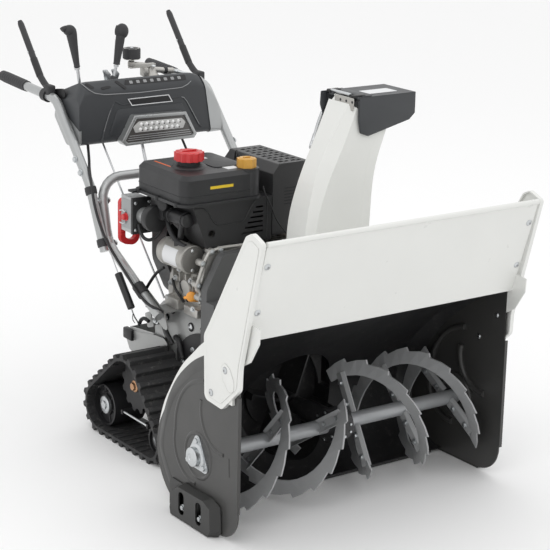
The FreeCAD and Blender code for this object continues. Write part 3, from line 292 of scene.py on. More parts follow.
def thicken(part, depth, edge):
    grown = bmesh.ops.extrude_face_region(part, geom=part.faces[:])["geom"]
    moved = [g for g in grown if isinstance(g, bmesh.types.BMVert)]
    bmesh.ops.translate(part, verts=moved, vec=(0, 0, depth / 1000))
    if edge:
        softenRims(part, edge)


def softenRims(part, size):
    part.normal_update()
    bevel(part, list({e for f in part.faces if abs(f.normal.z) > 0.99 for e in f.edges}), size)


def drum(place, direction, radius, depth, segments=32, edge=0, turn=0):
    part = bmesh.new()
    bmesh.ops.create_cone(part, cap_ends=True, segments=segments, radius1=radius / 1000, radius2=radius / 1000,
                          depth=depth / 1000, matrix=Matrix.Translation((0, 0, depth / 2000)))
    if edge:
        softenRims(part, edge)
    join(part, aimed(place, direction, turn))


def turnProfile(part, verts, angle, segments, merge):
    edges = [part.edges.new(ends) for ends in zip(verts, verts[1:])]
    bmesh.ops.spin(part, geom=verts + edges, cent=(0, 0, 0), axis=(0, 0, 1), dvec=(0, 0, 0), angle=angle,
                   steps=segments, use_merge=merge)


def lathe(place, direction, profile, segments=32):
    part = bmesh.new()
    turnProfile(part, [part.verts.new((r / 1000, 0, h / 1000)) for r, h in profile], 2 * pi, segments, True)
    bmesh.ops.remove_doubles(part, verts=part.verts, dist=2 * weldGap)
    join(part, aimed(place, direction))


def block(low, high, edge=0, place=Matrix.Translation((0, -middleY, 0))):
    low, high = Vector(low) / 1000, Vector(high) / 1000
    part = bmesh.new()
    bmesh.ops.create_cube(part, size=1)
    bmesh.ops.scale(part, vec=high - low, verts=part.verts)
    bmesh.ops.translate(part, vec=(low + high) / 2, verts=part.verts)
    if edge:
        bevel(part, part.edges[:], edge)
    join(part, place)


def slabPart(corners, depth, edge=0, segments=5):  # a corner's third value rounds it
    part = bmesh.new()
    places = [Vector(c[:2]) / 1000 for c in corners]
    verts = [part.verts.new((*c, 0)) for c in places]
    part.faces.new(verts)
    for k, (v, corner) in enumerate(zip(verts, corners)):
        if len(corner) > 2:
            before, after = places[k] - places[k - 1], places[(k + 1) % len(places)] - places[k]
            bevel(part, [v], corner[2] * tan(before.angle(after) / 2), segments, "VERTICES")
    thicken(part, depth, edge)
    return part


def slab(corners, place, depth, edge=0, segments=5):
    join(slabPart(corners, depth, edge, segments), place)


def ring(outer, inner, place, depth, edge=0):
    part = bmesh.new()
    loops = []
    for corners in (outer, inner):
        verts = [part.verts.new((c[0] / 1000, c[1] / 1000, 0)) for c in corners]
        loops += [part.edges.new(ends) for ends in zip(verts, verts[1:] + verts[:1])]
    bmesh.ops.bridge_loops(part, edges=loops)
    thicken(part, depth, edge)
    join(part, place)


def sideSlab(side, corners, x, depth, edge=0):  # drawn as (y, z), growing outwards from x
    slab(corners, planeX(x if side > 0 else -x - depth), depth, edge)


def sideBlock(side, low, high, edge):
    ends = sorted((side * low[0], side * high[0]))
    block((ends[0], *low[1:]), (ends[1], *high[1:]), edge)


def ball(center, radii):
    bmesh.ops.create_uvsphere(growing, u_segments=32, v_segments=20, radius=1, matrix=Matrix.Translation(
        mm(*center)) @ Matrix.Diagonal((*(r / 1000 for r in radii), 1)))


def wire(points, radius, order=3, sides=4, closed=False):
    data = bpy.data.curves.new("wire", "CURVE")
    data.dimensions = "3D"
    data.bevel_depth = radius / 1000
    data.bevel_resolution = sides
    data.use_fill_caps = True
    spline = data.splines.new("NURBS")
    spline.points.add(len(points) - 1)
    for point, place in zip(spline.points, points):
        point.co = (*mm(*place), 1)
    spline.order_u = order
    spline.use_endpoint_u = not closed
    spline.use_cyclic_u = closed
    spline.resolution_u = 6
    curve = bpy.data.objects.new("wire", data)
    mesh = bpy.data.meshes.new_from_object(curve)
    growing.from_mesh(mesh)
    bpy.data.objects.remove(curve)
    bpy.data.curves.remove(data)
    bpy.data.meshes.remove(mesh)


def hexBolt(place, direction, size=7, washer=True, turn=0):
    place, along = Vector(place), pointing(direction)
    if washer:
        drum(place, direction, size * 1.35, 1.6, 24, edge=0.4)
        place += along * 1.6
    drum(place, direction, size, size * 0.7, 6, edge=0.9, turn=turn)
    drum(place + along * size * 0.7, direction, size * 0.62, 0.5, 16)


def domeBolt(place, direction, size=8):
    profile = [(0, size * 0.5), (size * 0.45, size * 0.45), (size * 0.8, size * 0.27), (size, 0.6), (size, 0)]
    lathe(place, direction, profile, 20)


def makeObject(name, material):
    mesh = bpy.data.meshes.new(name)
    growing.to_mesh(mesh)
    growing.clear()
    mesh.materials.append(material)
    made = bpy.data.objects.new(name, mesh)
    bpy.context.scene.collection.objects.link(made)
    return made


def makePiece(name, finish, body="machine", sharp=34, replaces=None):
    bmesh.ops.remove_doubles(growing, verts=growing.verts, dist=weldGap)
    bmesh.ops.recalc_face_normals(growing, faces=growing.faces)
    for face in growing.faces:
        face.smooth = True
    for edge in growing.edges:
        if len(edge.link_faces) == 2 and edge.calc_face_angle() > radians(sharp):
            edge.smooth = False
    piece = makeObject(name, materials[finish])
    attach(piece, body)
    if replaces:
        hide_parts(replaces)


bothSides = (-1, 1)
upward, rearward, ahead = (0, 0, 1), (0, 1, 0), (0, -1, 0)

# intake: visor, side plates, skids

intake = {
    "halfWidth": 435,
    "bearing": (184, 188),
    "earCircle": 42,
    "earTurns": (92, 212, 332),
    "visorBolts": ((-82, 750), (-44, 627)),
    "visorBoltX": 417,
    "bracketBolts": ((42, 462), (107, 385)),
    "bracketLifts": (3.8, 1.6),
    "bracketFace": 447,
    "bracketEdge": ((-62, 812, 12), (-90, 800, 8), (-10, 484, 50), (-4, 426, 16), (64, 368, 12), (128, 372, 14),
                    (132, 524, 22), (112, 550, 26), (-40, 806, 16)),
    "bracketBoss": ((62, 464, 12), (46, 482, 12), (22, 470, 18), (4, 440, 14), (6, 414, 10), (28, 410, 10),
                    (54, 436, 20)),
    "innerBolts": ((35, 464), (103, 385)),
    "skidBolts": ((221, 36), (140, 34)),
    "shellRadius": 705.4,
    "ductTop": 360,
    "skinStations": ((-431, 0), (-397, 32), (-166, 32), (166, 32), (397, 32), (431, 0)),
    "shellCurves": {0: (-249.9, -111.2, 232, 160, 29.4), 32: (-193.3, -130, 248, 176, 34.7)},
    "beads": (((205, 200), 94, -95, 15), ((130, 235), 165, -4, 80), ((80, 320), 94, -97, 14)),
    "plateEdge": ((158, 466), (212, 435), (274, 382), (316, 327), (344, 272), (366, 206), (371, 150), (343, 95),
                  (310, 52)),
    "plateInside": ((296, 70), (326, 108), (350, 150), (346, 205), (324, 262), (296, 312), (256, 358), (204, 402),
                    (150, 436)),
    "rimEdge": ((60, 541), (110, 524), (164, 498), (218, 452), (256, 418), (287, 381), (315, 340), (351, 281),
                (376, 212), (380, 170), (374, 130)),
    "rimInside": ((350, 150), (346, 205), (324, 262), (296, 312), (256, 358), (204, 402), (150, 436), (60, 500)),
}


def intakeBolts(s):
    lean = Vector((0, -0.956, -0.293))
    half, visorX = s["halfWidth"], s["visorBoltX"]
    brackets = [(s["bracketFace"] + lift, *place) for place, lift in zip(s["bracketBolts"], s["bracketLifts"])]
    for side in bothSides:
        for turn in s["earTurns"]:
            hexBolt(around(side * (half + 4), *s["bearing"], s["earCircle"], radians(turn)), side, 7.5, turn=turn)
        for y, z in s["skidBolts"]:
            drum((side * (half - 2), y, z), side, 6, 22, 24)
            hexBolt((side * (half + 20), y, z), side, 7)
        for x, y, z in brackets:
            domeBolt((side * x, y, z), side, 8)
        for y, z in s["innerBolts"]:
            domeBolt((side * (half - 4), y, z), -side, 7)
        for y, z in s["visorBolts"]:
            domeBolt((side * visorX, y, z), lean, 9)
    makePiece("intake_bolts", "zinc")
    for side in bothSides:
        for x, y, z in brackets:
            drum((side * (x + 3.2), y, z), side, 3.4, 1, 6)
            drum((side * (x - 0.4), y, z), side, 9.4, 0.7, 24)
        for y, z in s["visorBolts"]:
            drum(Vector((side * visorX, y, z)) + lean * 3.2, lean, 3.6, 1.5, 6)
    makePiece("bolt_sockets", "glintGrey")


def bearingCaps(s):
    y, z = s["bearing"]
    cap = [(0, 0.6), (9, 0.6), (10, 2), (18, 2), (21, 0.6), (24.5, 0.4), (25.4, -0.6), (25.4, -4)]
    for side in bothSides:
        lathe((side * (s["halfWidth"] + 21), y, z), side, cap, 48)
        lathe((side * (s["halfWidth"] + 4), y, z), side, [(25, 4), (28, 1.5), (33, 0.2)], 48)
    makePiece("bearing_caps", "zinc")


def bracketPressings(s):
    for side in bothSides:
        sideSlab(side, s["bracketEdge"], s["bracketFace"], 1.6, 1.2)
        sideSlab(side, s["bracketBoss"], s["bracketFace"] + 1.6, 2.2, 1.8)
    makePiece("bracket_pressings", "whiteCoat")


def shellSkin(s):
    big, clear, sheet = s["shellRadius"], 0.4, 8
    rows = []
    for x, bulge in s["skinStations"]:
        bigY, bigZ, smallY, smallR, turn = s["shellCurves"][bulge]
        row = []
        for k in range(25):
            share = k * 0.04
            a = acos(share * cos(radians(turn)) + (1 - share) * (2 - bigY) / big)
            row.append(around(x, bigY, bigZ, big, a))
        for k in range(1, 13):
            a = radians(turn - (turn + 74) * k / 12)
            row.append(around(x, smallY, smallR, smallR + clear - sheet, a))
        rows.append([growing.verts.new(mm(*place)) for place in row])
    for a, b in zip(rows, rows[1:]):
        for k in range(len(a) - 1):
            if a is rows[2] and min(a[k].co.z, a[k + 1].co.z) < s["ductTop"] / 1000:
                continue
            growing.faces.new((a[k], a[k + 1], b[k + 1], b[k]))
    bmesh.ops.recalc_face_normals(growing, faces=growing.faces)
    bmesh.ops.solidify(growing, geom=growing.faces[:], thickness=-0.0006)
    bmesh.ops.delete(growing, geom=[v for v in growing.verts if not v.link_faces], context="VERTS")
    for side in bothSides:
        sideSlab(side, smoothPath(s["rimEdge"]) + smoothPath(s["rimInside"]), 431.2, 3.4, 0.6)
    makePiece("housing_skin", "whiteCoat")


def platePressings(s):
    half = s["halfWidth"]
    for side in bothSides:
        sideSlab(side, smoothPath(s["plateEdge"]) + smoothPath(s["plateInside"]), half - 3.6, 3.9, 0.25)
        x = side * (half - 6)
        for (y, z), radius, start, end in s["beads"]:
            wire([around(x, y, z, radius, radians(start + (end - start) * k / 10)) for k in range(11)], 8.4, sides=8)
        wire([around(x, *s["bearing"], 62, radians(30 * k)) for k in range(12)], 8.2, sides=8, closed=True)
        wire([(side * (half - 1.2), 44, 226), (side * (half - 1.2), 41, 178)], 3, order=2)
    makePiece("plate_pressings", "darkCoat")


intakeBolts(intake)
bearingCaps(intake)
bracketPressings(intake)
shellSkin(intake)
platePressings(intake)
print("intake dressed")

# auger

augerLook = {
    "axis": (184, 188),
    "ribbonStart": 48,
    "span": 359,
    "starts": {1: 46, -1: 133},
    "shares": (0.04, 0.5, 0.96),
    "boltRadii": (44, 104),
    "armRise": 7,
}


def augerBolts(s):
    for side in bothSides:
        for extra in (0, 180):
            for share in s["shares"]:
                turn = s["span"] * share
                x = s["ribbonStart"] + turn + 2.5 - s["armRise"]
                for radius in s["boltRadii"]:
                    place = around(side * x, *s["axis"], radius, radians(s["starts"][side] + extra + turn))
                    hexBolt(place, -side, 6.5, turn=turn)
                    hexBolt(Vector(place) + Vector((side * 4, 0, 0)), side, 6, washer=False)
    makePiece("auger_bolts", "zinc", "auger")


def gearboxBolts(s):
    y, z = s["axis"]
    for k in range(6):
        a = radians(60 * k + 30)
        hexBolt((21 * cos(a), y - 49, z + 21 * sin(a)), ahead, 4, washer=False)
        for side in bothSides:
            hexBolt(around(side * 31, y, z, 38, a), side, 4.5, washer=False)
    makePiece("gearbox_bolts", "zinc")


augerBolts(augerLook)
gearboxBolts(augerLook)
print("auger dressed")

# chute and deflector

hood = {
    "middle": 402,
    "top": 1037,
    "half": 70,
    "cheek": ((358, 1035), (358, 979), (340, 963), (200, 931, 6), (174, 940, 6), (166, 975), (166, 1035)),
    "farEnd": ((140, 1036, 3), (172, 1036), (172, 962), (150, 966, 4), (138, 1000, 20)),
    "leafX": 149,
}


def hoodDressing(s):
    y, half, top, leaf = s["middle"], s["half"], s["top"], s["leafX"]
    slab(rect(223, y - 39, 320, y + 11, 3), planeZ(top + 0.3), 0.5, segments=3)
    makePiece("hood_plate", "paleLabel", "deflector")
    for face in (y - half - 1, y + half):
        slab(s["cheek"], planeY(face), 1, edge=0.4)
    block((178, y - half + 3, top), (210, y + half - 3, top + 2.5), 1)
    slab(s["farEnd"], planeY(y + half), 1.4, edge=0.4)
    makePiece("hood_cheeks", "charcoalPlastic", "deflector")
    for low in (-62, 46):
        block((154, y + low, top - 4), (192, y + low + 18, top + 5), 2)
    makePiece("hood_clips", "blackPlastic", "deflector")
    drum((160, 366, 1040), rearward, 4.4, 86, 24, edge=0.8)
    makePiece("hinge_barrel", "zinc", "deflector")
    slab(rect(337, 1013, 421, 1035, 3), planeX(leaf), 2, edge=0.5)
    for y in (341, 404):
        block((leaf + 1, y, 1000), (leaf + 4, y + 14, 1016), 0.8)
    makePiece("chute_hinge", "starterGrey", "chute")
    wire([(153, 480, 976), (140, 482, 946), (130, 480, 914)], 5)
    wire([(130, 480, 916), (124, 480, 898), (111, 472, 888), (104, 462, 884)], 6)
    makePiece("hood_rod", "rodSteel", "chute")
    for y in (343, 369, 395):
        drum((leaf - 0.4, y, 1024), 1, 3.8, 2.8, 20)
    makePiece("hinge_holes", "deepBlack", "chute")


hoodDressing(hood)
print("hood dressed")

# engine

engine = {
    "coverFace": 566,
    "coverBolts": ((-150, 599), (-121, 600), (-44, 598), (-180, 570), (-192, 508), (-184, 470)),
    "coverRim": ((-40, 604), (-118, 606), (-156, 600), (-172, 574), (-197, 508), (-184, 488), (-184, 456)),
    "caseBolts": ((719, 490), (755, 424), (640, 500), (700, 520), (745, 470)),
    "starter": (-180, 568, 39),
    "fuelCap": (-146, 690, 857),
    "oilCap": (-12, 604, 840),
    "disc": (-232, 668, 37),
}


def caps(s):
    for key, r, name, finish in (("fuelCap", 30, "fuel_cap_top", "redPlastic"),
                                 ("oilCap", 19, "oil_cap_top", "honeyPlastic")):
        x, y, z = s[key]
        lathe(s[key], upward, [(0, 1.2), (r - 9, 1.2), (r - 6, 2.6), (r, 2.2), (r + 3, 0), (r + 3, -3)], 48)
        block((x - r + 8, y - 3, z + 0.5), (x + r - 8, y + 3, z + 5), 1.2)
        makePiece(name, finish)


def tankDressing():
    slab(rect(-239.2, 568.8, 19.2, 828.2, 30), planeZ(757), 2.4, edge=1, segments=8)
    slab(rect(-96, 634, 2, 812, 16), planeZ(814.5), 3, edge=1.5, segments=6)
    lathe((-146, 690, 815), upward, [(52, 0), (46, 4), (37, 6), (32, 6)], 48)
    lathe((-12, 604, 731), upward, [(35.5, 0), (35.5, 74), (33, 78), (29, 84.5), (22, 84.5)], 48)
    for y in (600, 700, 800):
        drum((-244, y, 729), upward, 7, 12, 20, edge=1)
    makePiece("tank_dressing", "tankPlastic")
    slab([(-74, 651, 2), (-31, 649, 2), (-38, 606, 2), (-73, 604, 2)], planeZ(815), 0.5)
    slab(rect(-90, 812, -50, 742, 2), planeZ(817.3), 0.4)
    makePiece("tank_labels", "paleLabel")
    slab([(-153, 774), (-78, 774), (-78, 782), (-153, 782)], planeY(569.5), 0.6)
    makePiece("tank_stripe", "yellowLabel")
    slab(rect(-196, 796, -190, 706, 2), planeZ(815), 0.5)
    makePiece("tank_strip", "orangeLabel")


def cowlDressing():
    line = [(-205, 723), (-170, 722), (-158, 712), (-136, 676), (-122, 669), (-44, 669), (-34, 676), (-12, 712),
            (-2, 724)]
    wire([(x, 574.6, z) for x, z in line], 1.7, order=2)
    lathe((-144, 575.4, 646), ahead, [(8, -3), (8, 0.4), (12, 0.4), (12.5, -1)], 32)
    block((-214, 580, 725), (62, 764, 731), 2)
    wire([(40, 575, 612), (40, 575, 726)], 1.4, order=2)
    makePiece("cowl_lines", "blackPlastic")
    drum((-204, 598, 686), rearward, 20, 104, 40, edge=3)
    for y in (610, 676):
        drum((-204, y, 686), rearward, 22.5, 8, 40, edge=1.5)
    block((-226, 702, 664), (-176, 768, 724), 9)
    drum((-214, 700, 712), (-1, -0.4, 0.1), 16, 20, 32, edge=3)
    wire([(-200, 640, 672), (-196, 650, 640), (-186, 668, 622)], 9)
    makePiece("air_intake", "blackPlastic")


def caseDressing(s):
    face = s["coverFace"]
    wire([(x, face + 1, z) for x, z in s["coverRim"]], 5, order=2, sides=3)
    for x, z in s["coverBolts"]:
        drum((x, face - 4, z), rearward, 9.5, 26, 28, edge=1.6)
    for y, z in s["caseBolts"]:
        drum((-170, y, z), 1, 10, 30, 28, edge=2)
    for k in range(5):
        block((-168, 600 + 34 * k, 440), (-140, 604 + 34 * k, 512), 1.5)
    block((-176, 596, 400), (-146, 668, 426), 4)
    block((-176, 700, 400), (-146, 768, 430), 4)
    lathe((-164, 672, 470), -1, [(26, 0), (24, 5), (15, 7), (0, 7)], 40)
    makePiece("case_castings", "castAluminium")
    for x, z in s["coverBolts"]:
        hexBolt((x, face - 4, z), ahead, 5.5, turn=x)
    for y, z in s["caseBolts"]:
        hexBolt((-170, y, z), -1, 6, turn=y)
    hexBolt((-190, 596, 432), (-1, -0.3, 0), 6)
    for x in (-130, 96):
        for y in (606, 752):
            hexBolt((x, y, 412), upward, 8)
    for y in (620, 716):
        for z in (476, 574):
            hexBolt((226, y, z), 1, 7)
    makePiece("engine_bolts", "zinc")
    lathe((226, 668, 526), 1, [(14, 0), (13, 10), (10, 12), (10, 26), (13, 28), (13, 40), (8, 44), (0, 44)], 28)
    wire([(262, 668, 526), (266, 690, 560), (240, 740, 596), (196, 768, 600)], 3.5)
    makePiece("plug_boot", "gripRubber")


def arcPatch(x, z, radius, front, back, start, end, thick):
    part = bmesh.new()
    verts = [part.verts.new((0, -radius / 1000, h / 1000)) for h in (0, back - front)]
    turnProfile(part, verts, radians(end - start), 24, False)
    bmesh.ops.recalc_face_normals(part, faces=part.faces)
    bmesh.ops.solidify(part, geom=part.faces[:], thickness=thick / 1000)
    join(part, aimed((x, front, z), rearward, start))


def dipstickTab():
    drum((-152, 622, 452), (-1, -0.1, 0.2), 11, 26, 28, edge=2)
    part = bmesh.new()
    bmesh.ops.create_uvsphere(part, u_segments=32, v_segments=20, radius=0.0145)
    bmesh.ops.scale(part, vec=(1, 0.42, 1.05), verts=part.verts)
    join(part, tilted((-184, 614, 463), -35, "Z"))
    wire([(-184, 616, 460), (-188, 630, 457), (-190, 639, 455)], 4.6)
    makePiece("dipstick_tab", "amberPlastic", replaces="dipstick")


def starterDressing(s):
    x, z, r = s["starter"]
    drum((x, 608, z), rearward, r - 1.5, 6, 48, edge=1.2)
    makePiece("starter_face", "starterFace")
    lathe((x, 614, z), rearward, [(r - 2, 0), (r + 1.4, 1.5), (r + 1.4, 16), (r + 0.3, 18)], 48)
    lathe((x, 722, z), rearward, [(r + 0.3, 0), (r + 1.4, 1.5), (r + 1.4, 16), (r, 22)], 48)
    makePiece("starter_ends", "starterGrey")
    for side in bothSides:
        domeBolt((x - 4, 608, z + side * 28), ahead, 6)
    for y in (662, 702):
        hexBolt((-112, y, 573), upward, 6)
    makePiece("starter_bolts", "zinc")
    arcPatch(x, z, r + 0.6, 642, 712, 56, 132, 0.5)
    makePiece("starter_label", "paleLabel")
    wire([(-198, 724, 664), (-200, 700, 630), (-196, 668, 606), (-190, 634, 604)], 6.5)
    drum((-196, 668, 598), (0, 0.2, 1), 9, 16, 24, edge=2)
    makePiece("starter_lead", "gripRubber")


def switchDressing(s):
    x, z, r = s["disc"]
    drum((x, 719, z), rearward, r + 0.8, 27, 56, edge=2.5)
    block((-268, 790, 612), (-206, 801, 716), 1.5)
    wire([(-250, 790, 640), (-252, 772, 614), (-242, 756, 600), (-222, 748, 604), (-204, 742, 628),
          (-200, 734, 650)], 5)
    makePiece("solenoid_disc", "blackPlastic")
    for bx in (-258, -214):
        for bz in (624, 702):
            domeBolt((bx, 790, bz), ahead, 5)
    for k in bothSides:
        wire([(-262, 838, 654 + 14 * k), (-268, 832, 654 + 15 * k), (-270, 842, 654 + 20 * k),
              (-274, 852, 654 + 17 * k)], 1.8, order=2)
    makePiece("switch_bolts", "zinc")
    lathe((-262, 834, 655), -1, [(12, 0), (12, 4), (9, 5), (9, 12), (7, 14), (0, 14)], 32)
    makePiece("starter_button", "redPlastic")
    slab(rect(804, 622, 858, 706, 3), planeX(-263.2), 1.2, edge=0.5)
    makePiece("switch_plate", "switchGrey")


def handleRidges():
    for k in range(9):
        block((-246, 890.8, 586 + 9 * k), (-233, 893, 590 + 9 * k), 0.6)
    makePiece("pull_handle_ridges", "redPlastic")


def guardDressing():
    for z in range(699, 745, 9):
        slab(rect(102, z, 146, z + 4, 2), planeY(579.6), 0.5)
        slab(rect(620, z, 664, z + 4, 2), planeX(209.9), 0.5)
    makePiece("guard_slots", "deepBlack")
    wire([(68, 764, 792), (66, 764, 812), (67, 768, 822), (70, 776, 822), (68, 780, 812), (67, 780, 792)], 3.2)
    for x in (114, 156):
        block((x, 600, 813), (x + 7, 812, 816.6), 0.8)
    block((60.5, 584, 616), (63.5, 824, 622), 1)
    block((62, 578.5, 616), (210, 580.5, 622), 0.8)
    block((84, 581, 808), (190, 586, 817.4), 1)
    makePiece("guard_trim", "guardBlack")
    for y in (640, 760):
        domeBolt((62, y, 650), -1, 6)
        domeBolt((210, y, 650), 1, 6)
    makePiece("guard_bolts", "zinc")


caps(engine)
tankDressing()
cowlDressing()
caseDressing(engine)
dipstickTab()
starterDressing(engine)
switchDressing(engine)
handleRidges()
guardDressing()
print("engine dressed")

# console and its levers

panel = {
    "half": 249,
    "front": 1126,
    "floor": 800,
    "tallest": 188,
    "profile": ((1128, 800, 20), (1126, 960, 30), (1150, 988, 16), (1262, 948, 20), (1274, 900, 16),
                (1205, 796, 16)),
    "grown": ((1125.4, 797.5, 22), (1123.6, 961, 32), (1149, 991, 18), (1264, 950.5, 22), (1276.8, 900, 18),
              (1206.4, 793.4, 18)),
    "crowns": {1: (111, 160), -1: (26, 60)},
    "brow": (1130.2, 964.8, 49.4),
    "edgeAt": (212, 800),
    "edgeLean": (0.985, 0.17),
    "paddleX": 263.3,
    "paddleShape": ((0, -2), (9.4, -2), (10.8, 1), (10.8, 24), (9.6, 28), (9.6, 176), (8.4, 184.5), (5, 187),
                    (0, 187.4)),
}


def cutAt(part, place, across, **clear):
    bmesh.ops.bisect_plane(part, geom=part.verts[:] + part.edges[:] + part.faces[:], dist=2 * weldGap, plane_co=place,
                           plane_no=across, **clear)


def crowned(s, corners, start, end, steps=26):
    shell = slabPart(corners, end - start, segments=8)
    bmesh.ops.transform(shell, matrix=planeX(start), verts=shell.verts)
    for k in range(1, steps):
        cutAt(shell, ((start + (end - start) * k / steps) / 1000, 0, 0), (1, 0, 0))
    for v in shell.verts:
        width, height = s["crowns"][1 if v.co.x > 0 else -1]
        over = min(1, (abs(v.co.x) * 1000 - s["half"] + width) / width)
        rise = v.co.z * 1000 - s["floor"]
        if over > 0 and rise > 0:
            drop = height * (1 - sqrt(1 - over * over))
            v.co.z -= drop * rise / s["tallest"] / 1000
    return shell


def consoleShell(s):
    half = s["half"]
    join(crowned(s, s["profile"], 1 - half, half - 1))
    makePiece("console_shell", "charcoalPlastic", replaces="console")
    cheek = crowned(s, s["grown"], 120, half + 0.2)
    x, z = s["edgeAt"]
    cutAt(cheek, (x / 1000, 0, z / 1000), (s["edgeLean"][0], 0, s["edgeLean"][1]), clear_inner=True)
    join(cheek)
    low = crowned(s, s["grown"], -half - 0.2, -half + 7)
    cutAt(low, mm(0, 1128, 848), (0, -0.42, 0.91), clear_outer=True)
    join(low)
    makePiece("console_cheeks", "litSilverPaint")
    for side in bothSides:
        for y, z in ((1197, 820), (1235, 877)):
            domeBolt((side * half, y, z), side, 8)
    makePiece("cheek_bolts", "zinc")


def consoleFace(s):
    front = s["front"]
    for line in ([(-129, 926), (-105, 912), (98, 919), (112, 914), (122, 902), (166, 828), (176, 820)],
                 [(-129, 926), (-148, 884), (-164, 838), (-172, 812)]):
        wire([(x, front + 1.6, z) for x, z in line], 3, order=2, sides=3)
    slab([(-150, 822, 10), (-120, 900, 12), (106, 900, 12), (150, 822, 10)], planeY(front - 0.6), 6, edge=1.2)
    makePiece("console_lines", "charcoalPlastic")
    # painted highlights: thin lighter wires along the top edges of the contour lines
    wire([(x, front - 0.6, z) for x, z in ((103, 918.5), (112, 915), (123, 902.5), (167, 829))], 1.3, order=2)
    wire([(x, front - 0.2, z) for x, z in ((-131, 924), (-150, 884), (-166, 838))], 0.7, order=2)
    makePiece("console_glint", "glintGrey")
    ring([(-86, 929), (57, 930), (71, 907), (-72, 907)], [(-82, 926.8), (55, 927.8), (66.5, 909.4), (-70, 909.4)],
         planeY(front - 2.6), 2)
    makePiece("name_border", "paleLabel")
    slab([(-84, 928), (56, 929), (69, 908), (-71, 908)], planeY(front - 2), 2)
    makePiece("name_strip", "deepBlack")


def consoleTop(s):
    y, z, turn = s["brow"]
    brow = tilted((0, y, z), turn)
    slab([(-92, 5, 3), (124, 3, 3), (126, 22, 3), (-84, 22, 3)], brow, 0.9)
    for corners in ([(-224, 23, 4), (-210, 23, 4), (-190, 4, 4), (-202, 2, 4)],
                    [(-124, 22, 4), (-110, 22, 4), (-84, -8, 4), (-96, -8, 4)],
                    [(-176, 4, 3), (-150, 8, 3), (-136, 6, 3), (-140, 1, 3), (-168, -3, 3)]):
        slab(corners, brow, 1.1)
    makePiece("tray_slots", "deepBlack")
    for x in range(-72, 97, 24):
        slab(rect(x, 8, x + 11, 18, 2), brow @ Matrix.Translation((0, 0, 0.0008)), 0.4)
    # painted highlight: a thin lighter line along the tray's front edge
    wire([(-233, 1147, 986), (-213, 1129, 965), (-196, 1125.6, 955), (-164, 1125, 948), (-45, 1125, 944),
          (104, 1125.4, 947), (124, 1126.5, 954), (140, 1131, 963)], 1.3, order=2)
    makePiece("tray_edge_painted_highlight", "glintGrey")
    slab([(1206, 936, 10), (1222, 958, 14), (1272, 950, 12), (1281, 932, 10), (1262, 926, 16), (1222, 928, 14)],
         planeX(-249.4), 6, edge=0.8)
    makePiece("end_socket", "deepBlack")


def lampDressing():
    outer = [(-76, 881), (105, 877), (144, 806), (134, 794), (-104, 792), (-119, 806)]
    inner = [(-68, 871), (98, 867), (131, 808), (126, 803), (-97, 801), (-106, 808)]
    ring(outer, inner, planeY(1101), 8, edge=2)
    for z in (806, 812.5, 819):
        grow = (871 - z) * 0.52
        block((-68 - grow + 4, 1104, z), (98 + grow - 6, 1107, z + 2.2), 0.8)
    makePiece("lamp_bezel", "lampSilver")
    slab(inner, planeY(1105), 2)
    makePiece("lamp_well", "lampDark")
    slab([(-60, 862, 4), (90, 859, 4), (104, 846, 4), (96, 828, 4), (-72, 829, 4), (-80, 846, 4)], planeY(1102.6),
         3, edge=1)
    makePiece("lamp_lens", "lensClear")
    leds = [(-52 + 18.5 * k - 3 * row, 853.5 - 15 * row - 0.3 * k) for row in (0, 1) for k in range(8)]
    face = 1102.8
    for x, z in leds:
        lathe((x, face, z), ahead, [(0, 2.6), (3, 2), (4.6, 0.8), (5.2, 0)], 16)
    makePiece("lamp_leds", "ledWhite")
    for x, z in leds:
        lathe((x + 7, face, z - 4), ahead, [(0, 0.6), (2.2, 0.5), (2.6, 0)], 10)
    makePiece("lamp_dots", "lampDark")


def leverGrip(name, lever, base, top, profile, head, nose, noseRadius):
    lathe(base, Vector(top) - Vector(base), profile, 36)
    ball(*head)
    wire(nose, noseRadius)
    makePiece(name, "gripRubber", sharp=50, replaces=lever)


def levers():
    leverGrip("gear_grip", "gear_lever", (-218.5, 1190, 1024), (-239, 1190, 1140),
              [(0, 0), (8, 0), (9.6, 2), (8.6, 5), (9, 12), (11, 40), (14, 78), (16, 100), (15.6, 112), (11, 121),
               (0, 124)], ((-243, 1190, 1134), (19, 17, 16)),
              [(-246, 1190, 1140), (-258, 1190, 1143), (-268, 1190, 1136)], 8)
    leverGrip("deflector_grip", "deflector_lever", (-85.5, 1190, 1022), (-69, 1190, 1118),
              [(0, 0), (9, 0), (10.6, 2), (9.6, 5), (10, 12), (12, 40), (13.5, 66), (14, 90), (0, 96)],
              ((-66, 1190, 1120), (20, 18, 23)), [(-80, 1190, 1112), (-83, 1190, 1124), (-76, 1190, 1134)], 9)
    wire([(-210.5, 1190, 972), (-218.5, 1190, 1028)], 4.6, order=2)
    lathe((-218, 1190, 1018), (-0.16, 0, 1), [(0, -1), (8, -1), (8, 5), (0, 5)], 24)
    wire([(-97, 1190, 972), (-91, 1190, 996), (-85.5, 1190, 1026)], 4.6)
    lathe((-87, 1190, 1016), (0.15, 0, 1), [(0, -1), (7.5, -1), (7.5, 5), (0, 5)], 24)
    makePiece("lever_stems", "rodSteel")
    lathe((-97, 1190, 972), (0.1, 0.3, 1), [(16, -4), (15, 3), (11, 8), (9, 14), (5, 18)], 28)
    makePiece("lever_boot", "gripRubber")


